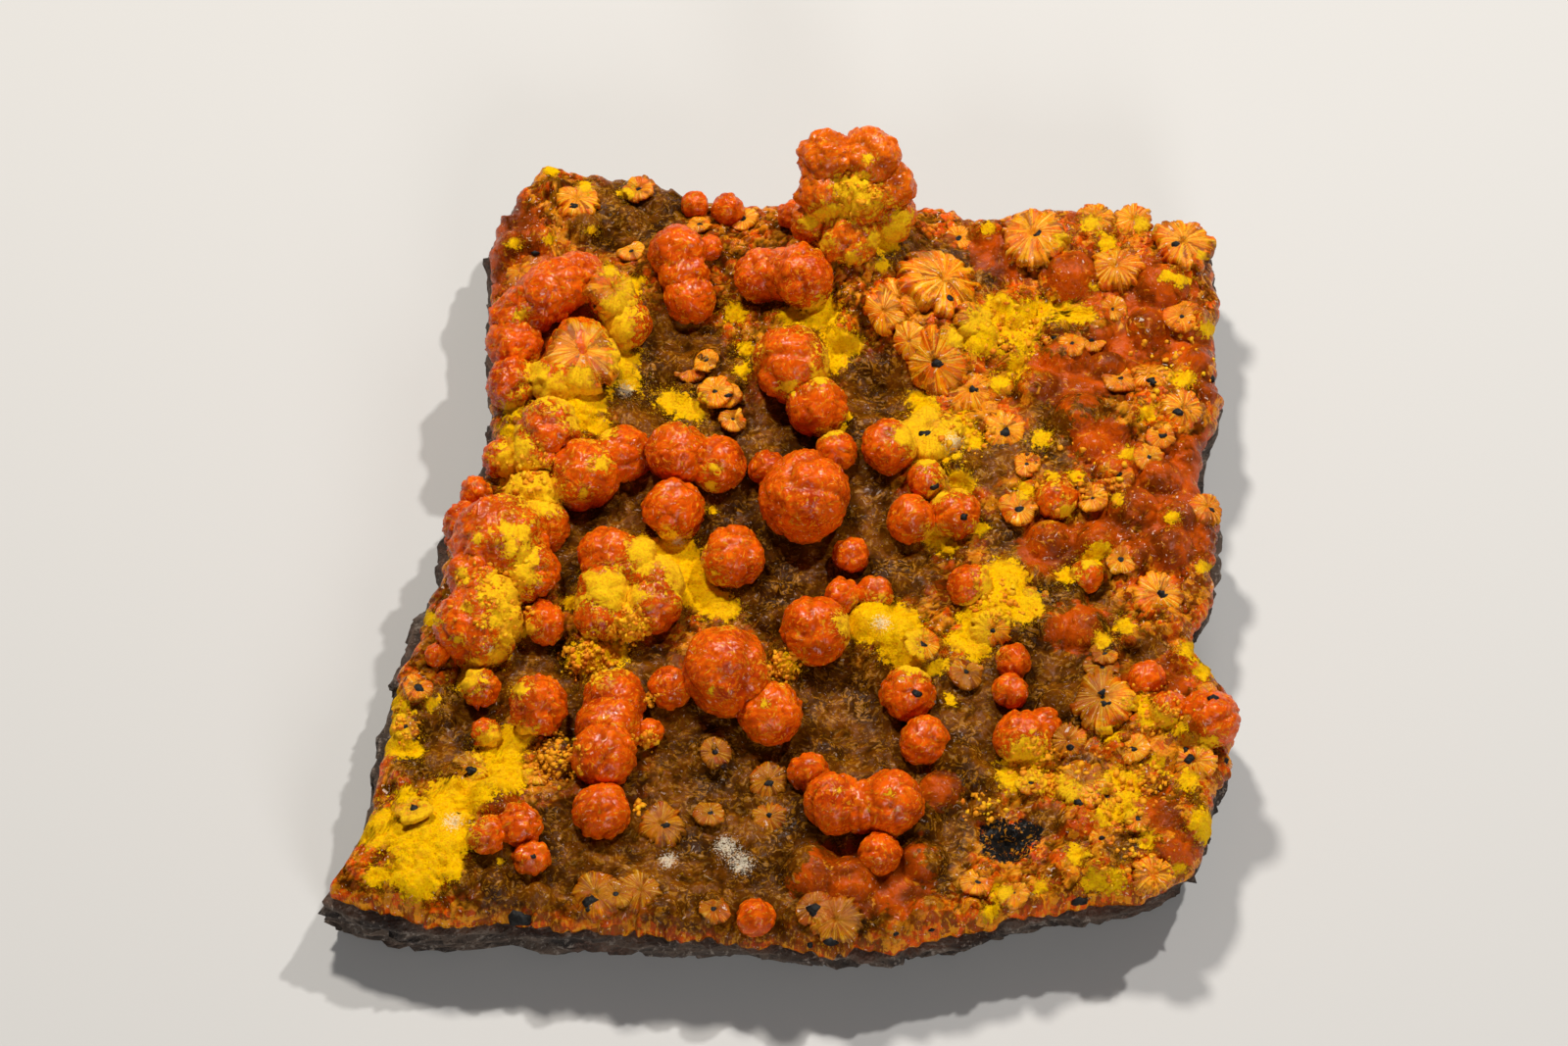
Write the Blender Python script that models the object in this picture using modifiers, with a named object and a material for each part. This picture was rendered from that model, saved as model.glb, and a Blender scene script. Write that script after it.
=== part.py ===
"""Francevillite: orange balls and rosettes on a crust that covers a thin slab of dark rock.

Lengths are in millimetres until they become vertices, which are in metres. +Z is up and the
origin is on the floor under the middle of the slab. Two pieces: the rock slab and the crust.
"""
import math

import bpy
import bmesh
from mathutils import Matrix, Vector, noise

MM = 0.001

# Heights above the floor
ROCK_TOP = 3.0
ROCK_LEVELS = (0.0, 0.35, 1.3, 2.3, ROCK_TOP)
CHAMFER_HEIGHT = 0.35
CONTACT_GAP = 0.3
CRUST_UNDERSIDE = ROCK_TOP + CONTACT_GAP
SHEET_FLOOR = 2.7
RIM_LOWER_EDGE = 3.55
CRUST_LEVEL = 4.35

# Widths along the edges
RIM_WIDTH = 1.7
ROCK_LIP = 0.1
ROCK_UNDERCUT = 1.5
FLOOR_CHAMFER = 0.5
LEDGE = 0.5

# Where the slab's edge changes: its sharp front left corner and its ledge on the left
ROCK_CORNER = math.radians(221)
LEDGE_SIDE = math.radians(192)

# Places in the tables below are where a sight line from EYE meets the level SIGHT_LEVEL.
# The sight line leans back 32 degrees from the vertical, so high things stand nearer the front.
SIGHT_LEVEL = 4.5
EYE = Vector((0.0, -138.0, 226.9))

# Mesh density
GRID_CELLS = 48
RING_CROWDING = 1.2
ROCK_SIDES = 96
BALL_FINENESS = 3
SKIN_GRAIN = 0.27
KEPT_FACES = 0.068

# How rosettes and domes sit: height of the centre over the crust, and height over width
ROSETTE_RISE = 0.1
ROSETTE_FLATNESS = 0.6
DOME_RISE = -0.35

# The crust's edge, anticlockwise from the middle of the right side: x, y
CRUST_EDGE = [
    (19.5, 0.5), (19.5, 1.4), (19.3, 2.3), (18.8, 2.7), (18.7, 3.7), (18.8, 4.6), (19.0, 5.6), (19.5, 6.7),
    (19.8, 7.9), (19.6, 9.0), (19.6, 10.4), (19.8, 12.0), (19.9, 13.4), (19.7, 15.2), (19.4, 16.4),
    (18.6, 17.3), (17.6, 16.9), (16.6, 17.7), (15.0, 18.0), (13.4, 18.4), (11.2, 18.4), (10.0, 17.8),
    (8.5, 17.9), (7.2, 18.4), (5.8, 18.5), (4.0, 18.7), (2.2, 18.8), (0.6, 18.7), (-0.8, 18.6),
    (-2.2, 18.9), (-3.4, 18.9), (-4.4, 19.3), (-6.0, 19.8), (-7.8, 20.1), (-9.4, 20.4), (-10.5, 20.9),
    (-11.3, 20.8), (-12.3, 19.4), (-13.0, 17.9), (-13.5, 16.0), (-13.5, 14.0), (-13.3, 12.2),
    (-13.2, 10.0), (-13.2, 7.8), (-13.1, 5.6), (-13.3, 4.0), (-14.1, 3.1), (-14.6, 1.8), (-15.1, 0.6),
    (-15.0, -0.8), (-15.3, -2.0), (-15.9, -3.2), (-16.2, -4.6), (-16.8, -6.2), (-17.0, -8.0),
    (-17.3, -9.8), (-17.7, -11.6), (-17.8, -13.2), (-18.3, -14.6), (-19.1, -16.4), (-19.8, -17.3),
    (-18.9, -17.7), (-17.6, -18.2), (-16.0, -18.7), (-14.4, -18.9), (-12.4, -18.7), (-11.0, -18.8),
    (-9.6, -19.1), (-7.6, -19.1), (-5.4, -19.3), (-3.2, -19.6), (-1.0, -19.8), (1.0, -20.0),
    (2.2, -20.3), (3.4, -20.0), (4.6, -20.1), (6.0, -19.6), (7.6, -19.4), (9.2, -18.8), (11.2, -18.3),
    (13.2, -17.9), (15.0, -17.8), (16.2, -17.2), (17.6, -16.5), (18.1, -15.4), (18.4, -14.2),
    (18.7, -12.9), (19.3, -11.6), (19.7, -10.0), (19.8, -8.6), (19.5, -7.4), (18.8, -6.4),
    (18.1, -5.6), (18.1, -4.6), (18.6, -3.6), (19.0, -2.4), (19.2, -1.0),
]

# Broad swells and hollows of the crust: x, y, radius, height over the general level
SWELLS = [
    (-9.5, 12.9, 3.6, 1.7), (-10.2, 6.8, 3.8, 1.6), (-12.6, -1.6, 3.8, 1.2), (-7.2, -2.0, 3.2, 1.0),
    (-4.6, 3.4, 3.2, 0.7), (0.6, 12.2, 3.8, 1.1), (3.2, 17.4, 3.6, 3.1), (6.9, 11.6, 3.4, 1.5),
    (6.4, 4.2, 3.2, 1.0), (1.0, 3.0, 3.4, 0.5), (-2.2, -6.8, 3.4, 0.5), (5.0, -5.4, 2.6, 0.8),
    (11.8, 16.2, 3.2, 0.9), (18.0, 15.4, 2.6, 0.8), (15.2, 13.4, 3.6, 0.6), (13.8, 6.6, 4.0, 0.7),
    (17.6, 7.4, 3.0, 0.7), (16.2, 0.6, 4.6, 0.9), (9.4, -3.4, 2.6, 0.8), (14.4, -8.2, 3.2, 0.9),
    (18.0, -8.8, 3.0, 0.8), (14.0, -14.6, 4.8, 0.7), (17.6, -14.0, 2.6, 0.4), (-15.6, -15.4, 3.6, 1.1),
    (-11.8, -14.8, 3.0, 0.7), (-7.8, -12.6, 2.6, 0.5), (-16.4, -7.4, 2.4, 0.3), (-11.4, 17.4, 3.4, 0.5),
    (-4.8, 15.2, 2.6, 0.6), (3.6, -14.2, 3.4, 0.4), (2.4, -18.6, 2.6, 0.5), (-6.8, -18.0, 2.6, 0.5),
    (6.4, -18.6, 2.4, 0.5), (-5.2, 9.6, 3.2, -0.4), (2.4, -8.8, 3.4, -0.5), (-14.4, -9.4, 2.4, -0.5),
    (-10.4, -6.0, 2.2, -0.4), (11.6, -6.6, 2.2, -0.4), (4.4, 8.4, 2.6, -0.5), (12.6, 4.6, 2.4, -0.3),
    (-0.6, -12.6, 3.2, -0.3), (8.6, 1.6, 2.4, -0.3), (7.6, -14.4, 2.8, -0.3), (9.8, -15.3, 1.6, -0.4),
]

# Balls that stand clear of the crust: x, y, radius, rise of the centre over the crust there
GREAT_BALLS = [
    (0.95, 2.3, 2.05, 1.15), (-2.6, -6.75, 1.98, 1.1), (0.35, 9.4, 1.8, 1.0), (1.5, 7.1, 1.4, 0.9),
    (1.4, -4.7, 1.55, 0.9), (-0.6, -8.9, 1.42, 0.8), (2.2, -13.4, 1.35, 0.8), (4.6, -13.4, 1.48, 0.9),
    (-4.8, 4.6, 1.4, 0.8), (-9.0, 3.45, 1.6, 0.6), (-12.6, -0.2, 2.2, 0.3), (-13.5, -4.4, 1.9, 0.5),
    (-2.3, -0.9, 1.4, 0.8), (-10.75, -8.5, 1.33, 0.7), (-7.4, -8.3, 1.42, 0.8), (-7.8, -11.0, 1.42, 0.8),
]

# Smaller balls and lobes, many of them grown into each other: x, y, radius, rise of the centre
SMALL_BALLS = [
    (-12.0, 12.0, 1.35, 0.3), (-10.8, 13.2, 1.4, 0.5), (-9.4, 14.1, 1.25, 0.4), (-8.0, 13.2, 1.2, 0.3),
    (-7.2, 11.6, 1.2, 0.3), (-12.2, 10.4, 1.3, 0.2), (-9.3, 10.1, 1.5, 0.3), (-12.2, 8.3, 1.25, 0.3),
    (-10.3, 8.4, 1.3, 0.1), (-10.6, 5.8, 1.45, 0.3), (-7.2, 4.6, 1.3, 0.6), (-12.6, 4.3, 0.9, 0.2),
    (-13.8, 2.5, 0.75, 0.2), (-14.2, 0.8, 1.0, 0.2), (-10.9, 0.7, 1.3, 0.3), (-13.6, -1.9, 1.3, 0.2),
    (-15.3, -5.9, 0.5, 0.3), (-13.3, -7.6, 0.85, 0.5), (-10.6, -4.3, 0.95, 0.3), (-13.0, -9.9, 0.65, 0.3),
    (-7.8, -0.9, 1.35, 0.6), (-5.7, -2.3, 1.3, 0.5), (-8.2, -4.0, 1.1, 0.4), (-6.7, -4.2, 0.9, 0.4),
    (-3.0, 4.0, 1.3, 0.6), (-4.9, 1.6, 1.4, 0.7), (-0.8, 3.8, 0.8, 0.4), (2.35, 4.7, 0.9, 0.5),
    (4.7, 4.9, 1.25, 0.6), (5.7, 1.1, 1.1, 0.5), (7.6, 1.4, 1.15, 0.5), (6.4, 3.2, 0.85, 0.2),
    (3.0, -0.8, 0.82, 0.4), (2.6, -2.9, 0.8, 0.4), (4.0, -2.8, 0.8, 0.4), (8.2, -2.4, 1.0, 0.3),
    (-5.0, -7.6, 0.95, 0.4), (5.4, -7.9, 1.2, 0.5), (6.1, -10.3, 1.1, 0.5), (-5.9, -9.9, 0.65, 0.4),
    (10.1, -6.3, 0.8, 0.4), (9.9, -7.8, 0.8, 0.4), (10.4, -10.2, 1.25, 0.3), (11.3, -9.5, 0.8, 0.2),
    (-7.9, -13.8, 1.25, 0.4), (-12.8, -15.0, 0.85, 0.3), (-11.4, -14.5, 0.95, 0.3), (-10.9, -16.1, 0.8, 0.3),
    (4.1, -15.9, 0.95, 0.5), (1.1, -11.9, 0.9, 0.3), (-1.2, -19.0, 0.85, 0.2), (-4.9, 15.5, 1.3, 0.7),
    (-3.4, 15.8, 0.6, 0.3), (-4.3, 13.0, 1.2, 0.6), (-1.0, 14.2, 1.3, 0.6), (0.8, 14.2, 1.5, 0.6),
    (0.4, 17.6, 0.7, 0.4), (12.2, 2.1, 0.95, 0.3), (-4.1, 18.2, 0.65, 0.2), (-2.6, 17.9, 0.75, 0.2),
    (15.9, -7.2, 0.85, 0.2), (16.8, -8.7, 0.8, 0.2), (18.6, -9.2, 1.3, -0.1), (13.4, -1.9, 0.75, 0.2),
]

# The tall cluster at the back edge: x, y, radius, height of the centre over the floor
TOWER_BALLS = [
    (2.1, 20.8, 1.35, 9.5), (3.9, 20.9, 1.4, 9.6), (4.95, 19.2, 1.15, 8.3), (1.9, 18.9, 1.3, 8.4),
    (3.5, 18.9, 1.4, 8.5), (4.9, 17.6, 1.2, 7.0), (3.0, 16.4, 1.4, 6.9), (1.3, 17.3, 1.0, 6.9),
    (4.6, 18.5, 1.3, 6.6), (2.4, 18.7, 1.4, 6.6),
]

# Low domes between the balls: x, y, radius of the sphere
DOMES = [
    (13.2, 14.0, 1.3), (17.2, 13.4, 1.3), (12.2, 11.2, 1.0), (14.2, 11.0, 1.0), (16.5, 11.2, 1.1),
    (18.6, 11.4, 1.1), (10.5, 12.2, 1.2), (10.2, 9.8, 1.0), (12.8, 9.4, 1.2), (11.4, 7.8, 1.2),
    (14.6, 8.9, 1.0), (13.4, 6.4, 1.3), (15.2, 6.0, 1.2), (19.0, 9.4, 0.9), (19.2, 7.6, 0.9),
    (16.9, 5.4, 0.9), (16.0, 4.2, 0.8), (13.9, 4.8, 1.0), (18.2, 4.6, 0.9), (14.6, 3.6, 0.8),
    (16.8, 3.0, 1.1), (13.8, 2.0, 0.9), (15.6, 1.4, 1.2), (17.4, 1.0, 1.0), (11.0, 4.0, 0.7),
    (10.6, 1.4, 0.9), (11.8, -0.2, 1.1), (14.0, -0.1, 1.0), (15.6, -1.0, 0.9), (17.2, -0.6, 1.1),
    (18.4, -1.6, 0.8), (11.2, -2.3, 0.9), (12.6, -3.2, 1.0), (13.2, -4.8, 1.2), (16.9, -4.4, 0.9),
    (15.6, -5.4, 0.9), (14.3, -6.0, 0.8), (17.6, -6.6, 0.9), (11.8, -4.6, 1.0), (17.6, -9.8, 0.9),
    (15.4, -9.6, 0.9), (14.6, -10.8, 0.9), (16.4, -10.9, 0.9), (11.0, -11.6, 0.9), (10.8, -13.0, 0.9),
    (15.4, -14.2, 0.9), (12.6, -14.6, 0.9), (16.4, -15.6, 0.9), (13.6, -16.4, 0.9), (17.4, -16.0, 0.7),
    (12.2, -17.6, 0.8), (10.2, -17.6, 0.9), (8.6, -17.0, 0.8), (8.8, -13.8, 0.9), (17.8, -14.4, 0.8),
    (8.2, -18.9, 0.8), (10.6, -18.3, 0.7), (14.6, -17.6, 0.8), (-7.2, 17.0, 0.9), (-6.8, 19.0, 0.8),
    (-11.4, 16.0, 1.0), (-9.2, 16.6, 0.9), (-7.4, 15.8, 0.8), (-12.6, 15.8, 0.9), (-3.4, 9.4, 0.9),
    (-2.8, 7.6, 0.9), (-2.2, 6.0, 0.7), (-4.6, 9.0, 0.8), (-5.6, 8.6, 0.8), (-4.4, 7.4, 0.8),
    (2.6, 11.2, 1.0), (3.2, 12.8, 1.1), (8.8, 10.6, 1.0), (8.6, 6.0, 0.8), (7.6, 3.8, 0.8),
    (-16.2, -7.6, 0.8), (-16.4, -10.2, 0.8), (-14.8, -9.2, 0.7), (-16.4, -12.4, 0.9), (-16.0, -13.7, 1.0),
    (-17.6, -14.6, 0.8), (-14.4, -12.4, 0.9), (-12.6, -13.5, 1.2), (-9.8, -11.4, 1.1), (-8.7, -6.1, 1.2),
    (-14.0, -17.2, 0.9), (-12.4, -17.4, 0.8), (-10.6, -18.2, 0.8), (-16.2, -17.6, 0.9), (-18.2, -17.0, 0.7),
    (-5.2, -18.9, 0.9), (-3.1, -18.6, 0.8), (0.4, -19.3, 0.7), (4.6, -19.4, 0.9), (6.3, -19.0, 1.0),
    (-3.2, -14.1, 0.8), (-3.0, -10.9, 0.9), (0.0, -6.4, 1.0), (1.2, -17.0, 1.4), (2.8, -17.4, 1.3),
    (5.8, -14.6, 1.1), (6.8, -13.2, 1.2), (6.0, -16.4, 1.1), (7.4, -11.6, 1.2), (8.4, -12.4, 1.0),
    (6.2, -5.6, 1.0), (7.1, -4.3, 0.7), (7.9, -6.6, 0.9), (11.9, -8.9, 1.0), (-0.7, -4.3, 0.9),
    (-0.7, -2.7, 0.7), (3.9, -4.4, 1.1), (5.0, -5.0, 1.0), (-10.6, 18.9, 0.8), (9.4, 16.6, 0.9),
]

# Flattened rosettes of blades: x, y, radius
ROSETTES = [
    (6.5, 5.6, 1.55), (6.9, 9.6, 1.5), (7.1, 13.6, 1.9), (5.2, 12.8, 1.2), (8.4, 7.9, 1.1),
    (11.5, 16.3, 1.5), (18.3, 15.9, 1.3), (14.3, 17.3, 0.9), (16.0, 17.2, 0.9), (9.9, 5.8, 0.95),
    (16.6, 8.6, 0.95), (17.9, 6.9, 1.0), (18.8, 1.6, 0.8), (16.6, -2.9, 1.08), (9.2, -4.6, 0.9),
    (14.0, -8.3, 1.35), (12.4, -10.3, 0.8), (17.9, -11.3, 0.95), (-13.6, -11.7, 0.8), (-5.3, -14.6, 1.0),
    (-0.7, -12.4, 0.85), (-0.6, -14.2, 0.75), (-8.0, -18.0, 1.1), (-6.2, -17.8, 0.9), (2.2, -19.2, 1.2),
    (-9.6, 18.3, 1.0), (-11.9, 14.2, 0.95), (15.2, 14.5, 1.2), (13.0, -12.6, 1.2), (15.8, -17.0, 0.9),
]


def swell(distance, radius):
    return math.exp(-2.0 * (distance / radius) ** 2)


def sighted(x, y, z):
    """The point at height z on the sight line that meets SIGHT_LEVEL at x, y."""
    level = Vector((x, y, SIGHT_LEVEL))
    return level + (EYE - level) * (z - SIGHT_LEVEL) / (EYE.z - SIGHT_LEVEL)


def crust_height(x, y):
    """The crust's height over the floor away from its edge."""
    height = CRUST_LEVEL + 0.22 * noise.noise(Vector((x / 2.3, y / 2.3, 3.7)))
    for sx, sy, radius, rise in SWELLS:
        place = sighted(sx, sy, CRUST_LEVEL + max(rise, 0.0))
        height += rise * swell(math.hypot(x - place.x, y - place.y), radius)
    return height


def on_crust(x, y, rise):
    """The point that stands rise above the crust on the sight line through x, y."""
    height = SIGHT_LEVEL + rise
    for _ in range(4):
        place = sighted(x, y, height)
        height = crust_height(place.x, place.y) + rise
    return sighted(x, y, height)


def edge_radius(angle):
    """Distance from the middle to the crust's edge in a direction, straight between the points."""
    direction = Vector((math.cos(angle), math.sin(angle)))
    for start, end in zip(CRUST_EDGE, CRUST_EDGE[1:] + CRUST_EDGE[:1]):
        start, end = Vector(start), Vector(end)
        side = end - start
        turn = direction.x * side.y - direction.y * side.x
        if abs(turn) < 1e-9:
            continue
        along = (direction.y * start.x - direction.x * start.y) / turn
        reach = (start.x * side.y - start.y * side.x) / turn
        if -1e-9 <= along <= 1.0 + 1e-9 and reach > 0.0:
            return reach
    raise ValueError("the edge is open")


def square_to_ring(a, b):
    """Ring fraction and angle of a point of the square -1..1, whose rings become rings of the disc."""
    ring = max(abs(a), abs(b))
    if ring < 1e-9:
        return 0.0, 0.0
    if abs(a) >= abs(b):
        angle = math.pi / 4 * b / a + (0.0 if a > 0 else math.pi)
    else:
        angle = math.pi / 2 - math.pi / 4 * a / b + (0.0 if b > 0 else math.pi)
    return ring, angle


def stone_material(name, colour, roughness):
    material = bpy.data.materials.new(name)
    material.use_nodes = True
    shader = material.node_tree.nodes["Principled BSDF"]
    shader.inputs["Base Color"].default_value = (*colour, 1.0)
    shader.inputs["Roughness"].default_value = roughness
    shader.inputs["Metallic"].default_value = 0.0
    return material


def add_object(name, bm, collection, material):
    mesh = bpy.data.meshes.new(name)
    bm.to_mesh(mesh)
    bm.free()
    mesh.shade_smooth()
    mesh.materials.append(material)
    piece = bpy.data.objects.new(name, mesh)
    collection.objects.link(piece)
    return piece


def rim_height(inset, height):
    """Rounds the crust's surface down to its lower edge over the last RIM_WIDTH."""
    share = min(inset / RIM_WIDTH, 1.0)
    return RIM_LOWER_EDGE + (height - RIM_LOWER_EDGE) * math.sqrt(1.0 - (1.0 - share) ** 2)


def add_sheet(bm):
    """A square grid is bent to the crust's outline, raised to its relief and closed below."""
    bmesh.ops.create_grid(bm, x_segments=GRID_CELLS, y_segments=GRID_CELLS, size=1.0)
    for vertex in bm.verts:
        ring, angle = square_to_ring(vertex.co.x, vertex.co.y)
        ring = 1.0 - (1.0 - ring) ** RING_CROWDING
        reach = edge_radius(angle)
        x, y = ring * reach * math.cos(angle), ring * reach * math.sin(angle)
        vertex.co = Vector((x, y, rim_height((1.0 - ring) * reach, crust_height(x, y)))) * MM
    rim = [edge for edge in bm.edges if edge.is_boundary]
    skirt = bmesh.ops.extrude_edge_only(bm, edges=rim)["geom"]
    for vertex in (item for item in skirt if isinstance(item, bmesh.types.BMVert)):
        vertex.co.z = SHEET_FLOOR * MM
    bmesh.ops.holes_fill(bm, edges=[edge for edge in bm.edges if edge.is_boundary])
    bmesh.ops.recalc_face_normals(bm, faces=bm.faces)


def add_ball(bm, centre, radius, height=1.0):
    """One ball, or a flattened one where height is under 1."""
    place = Matrix.Translation(centre * MM) @ Matrix.Diagonal((1.0, 1.0, height, 1.0))
    bmesh.ops.create_icosphere(bm, subdivisions=BALL_FINENESS, radius=radius * MM, matrix=place)


def add_balls(bm):
    """Every ball, lobe and rosette, sunk into the sheet or into each other."""
    for x, y, radius, rise in GREAT_BALLS + SMALL_BALLS:
        add_ball(bm, on_crust(x, y, rise), radius)
    for x, y, radius, height in TOWER_BALLS:
        add_ball(bm, sighted(x, y, height), radius)
    for x, y, radius in DOMES:
        add_ball(bm, on_crust(x, y, DOME_RISE), radius)
    for x, y, radius in ROSETTES:
        add_ball(bm, on_crust(x, y, ROSETTE_RISE), radius, ROSETTE_FLATNESS)


def make_floor_cutter(collection):
    """The block under the crust, whose top is the flat face that the rock carries."""
    bm = bmesh.new()
    bmesh.ops.create_cube(bm, size=1.0)
    bmesh.ops.scale(bm, vec=(0.06, 0.06, 0.004), verts=bm.verts)
    mesh = bpy.data.meshes.new("crust_floor_cutter")
    bm.to_mesh(mesh)
    bm.free()
    cutter = bpy.data.objects.new(mesh.name, mesh)
    cutter.location.z = CRUST_UNDERSIDE * MM - 0.002
    cutter.hide_render = True
    cutter.display_type = "WIRE"
    collection.objects.link(cutter)
    return cutter


def make_crust(collection, material, cutter):
    """The sheet and all that grows on it, grown into one skin, lightened and cut flat below."""
    bm = bmesh.new()
    add_sheet(bm)
    add_balls(bm)
    crust = add_object("francevillite_crust", bm, collection, material)
    grow = crust.modifiers.new("Grow together", "REMESH")
    grow.mode = "VOXEL"
    grow.voxel_size = SKIN_GRAIN * MM
    grow.use_smooth_shade = True
    lighten = crust.modifiers.new("Lighten", "DECIMATE")
    lighten.ratio = KEPT_FACES
    cut = crust.modifiers.new("Flat underside", "BOOLEAN")
    cut.operation = "DIFFERENCE"
    cut.object = cutter
    cut.solver = "EXACT"
    return crust


def rock_reach(angle, height):
    """The slab's side: a ragged broken edge, drawn in towards the floor, least at its sharp corner."""
    share = height / ROCK_TOP
    from_corner = math.remainder(angle - ROCK_CORNER, 2.0 * math.pi)
    from_ledge = math.remainder(angle - LEDGE_SIDE, 2.0 * math.pi)
    undercut = ROCK_UNDERCUT * (1.0 - 0.45 * swell(from_corner, 0.8)) * (1.0 - share) ** 1.3
    chamfer = FLOOR_CHAMFER * max(0.0, 1.0 - height / CHAMFER_HEIGHT)
    where = Vector((3.1 * math.cos(angle), 3.1 * math.sin(angle), 0.9 * share))
    ragged = (1.2 - 0.5 * share) * (0.30 * noise.noise(where * 1.7) + 0.24 * noise.noise(where * 5.3))
    return edge_radius(angle) + ROCK_LIP + LEDGE * swell(from_ledge, 1.2) - undercut - chamfer + ragged


def make_rock(collection, material):
    """The slab: rings of its outline from the floor to its flat top, closed at both ends."""
    bm = bmesh.new()
    bmesh.ops.create_circle(bm, segments=ROCK_SIDES, radius=1.0)
    ring = bm.verts[:]
    for height in ROCK_LEVELS:
        if height > 0.0:
            edges = [edge for edge in bm.edges if all(vertex in ring for vertex in edge.verts)]
            raised = bmesh.ops.extrude_edge_only(bm, edges=edges)["geom"]
            ring = [item for item in raised if isinstance(item, bmesh.types.BMVert)]
        for vertex in ring:
            angle = math.atan2(vertex.co.y, vertex.co.x)
            reach = rock_reach(angle, height)
            vertex.co = Vector((reach * math.cos(angle), reach * math.sin(angle), height)) * MM
    bmesh.ops.holes_fill(bm, edges=[edge for edge in bm.edges if edge.is_boundary])
    bmesh.ops.recalc_face_normals(bm, faces=bm.faces)
    return add_object("rock_matrix", bm, collection, material)


def clear_scene():
    for old in list(bpy.data.objects):
        bpy.data.objects.remove(old)


def new_collection(name):
    collection = bpy.data.collections.new(name)
    bpy.context.scene.collection.children.link(collection)
    return collection


def main():
    clear_scene()
    parts = new_collection("francevillite")
    cutters = new_collection("cutters")
    rock = stone_material("dark rock", (0.055, 0.042, 0.034), 0.85)
    orange = stone_material("francevillite", (0.60, 0.10, 0.006), 0.45)
    make_rock(parts, rock)
    make_crust(parts, orange, make_floor_cutter(cutters))


main()
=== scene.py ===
"""Francevillite specimen as it looks: orange balls and bladed rosettes with yellow powder, on rock.

Lengths are in millimetres until they become vertices. Places in the tables are where a sight
line from EYE meets the level SIGHT_LEVEL.
"""

import math
from itertools import product

import bpy
import numpy as np
from mathutils import Matrix, Vector, noise
from mathutils.bvhtree import BVHTree


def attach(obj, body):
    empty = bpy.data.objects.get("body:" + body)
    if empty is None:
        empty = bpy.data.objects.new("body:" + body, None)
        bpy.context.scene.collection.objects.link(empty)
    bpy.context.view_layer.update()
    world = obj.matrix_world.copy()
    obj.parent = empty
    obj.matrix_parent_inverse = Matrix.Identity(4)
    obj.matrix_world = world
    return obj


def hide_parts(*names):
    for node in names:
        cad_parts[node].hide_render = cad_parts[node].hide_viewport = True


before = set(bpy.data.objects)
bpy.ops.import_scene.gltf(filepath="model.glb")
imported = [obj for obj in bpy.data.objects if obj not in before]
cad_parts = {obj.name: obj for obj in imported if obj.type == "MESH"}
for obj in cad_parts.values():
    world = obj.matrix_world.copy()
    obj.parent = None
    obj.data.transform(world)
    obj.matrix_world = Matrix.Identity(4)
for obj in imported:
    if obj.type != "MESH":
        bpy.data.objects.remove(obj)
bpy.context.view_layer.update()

MM = 0.001
SIGHT_LEVEL = 4.5
EYE = np.array([0.0, -138.0, 226.9])

ROCK_TOP = 3.0
RIM_LOWER_EDGE = 3.55
CRUST_LEVEL = 4.35
RIM_WIDTH = 1.7
CHAMFER_HEIGHT = 0.35
ROCK_LIP = 0.1
ROCK_UNDERCUT = 1.5
FLOOR_CHAMFER = 0.5
LEDGE = 0.5
ROCK_CORNER = math.radians(221)
LEDGE_SIDE = math.radians(192)
DOME_RISE = -0.35
FULL_TURN = 2.0 * math.pi
SKIRT_DROP = 0.75
SLAB_MAP = 40.0
BALL_REACH = 165
BALL_TILT = 0.35
ROSETTE_REACH = 112
LEFT_BALLS = -6.3
RIGHT_BALLS = 3.2
LIT_POINT = (0.0, 0.0, 0.004)
VIEWED_POINT = (0.0, 0.0009, 0.0045)

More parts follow.
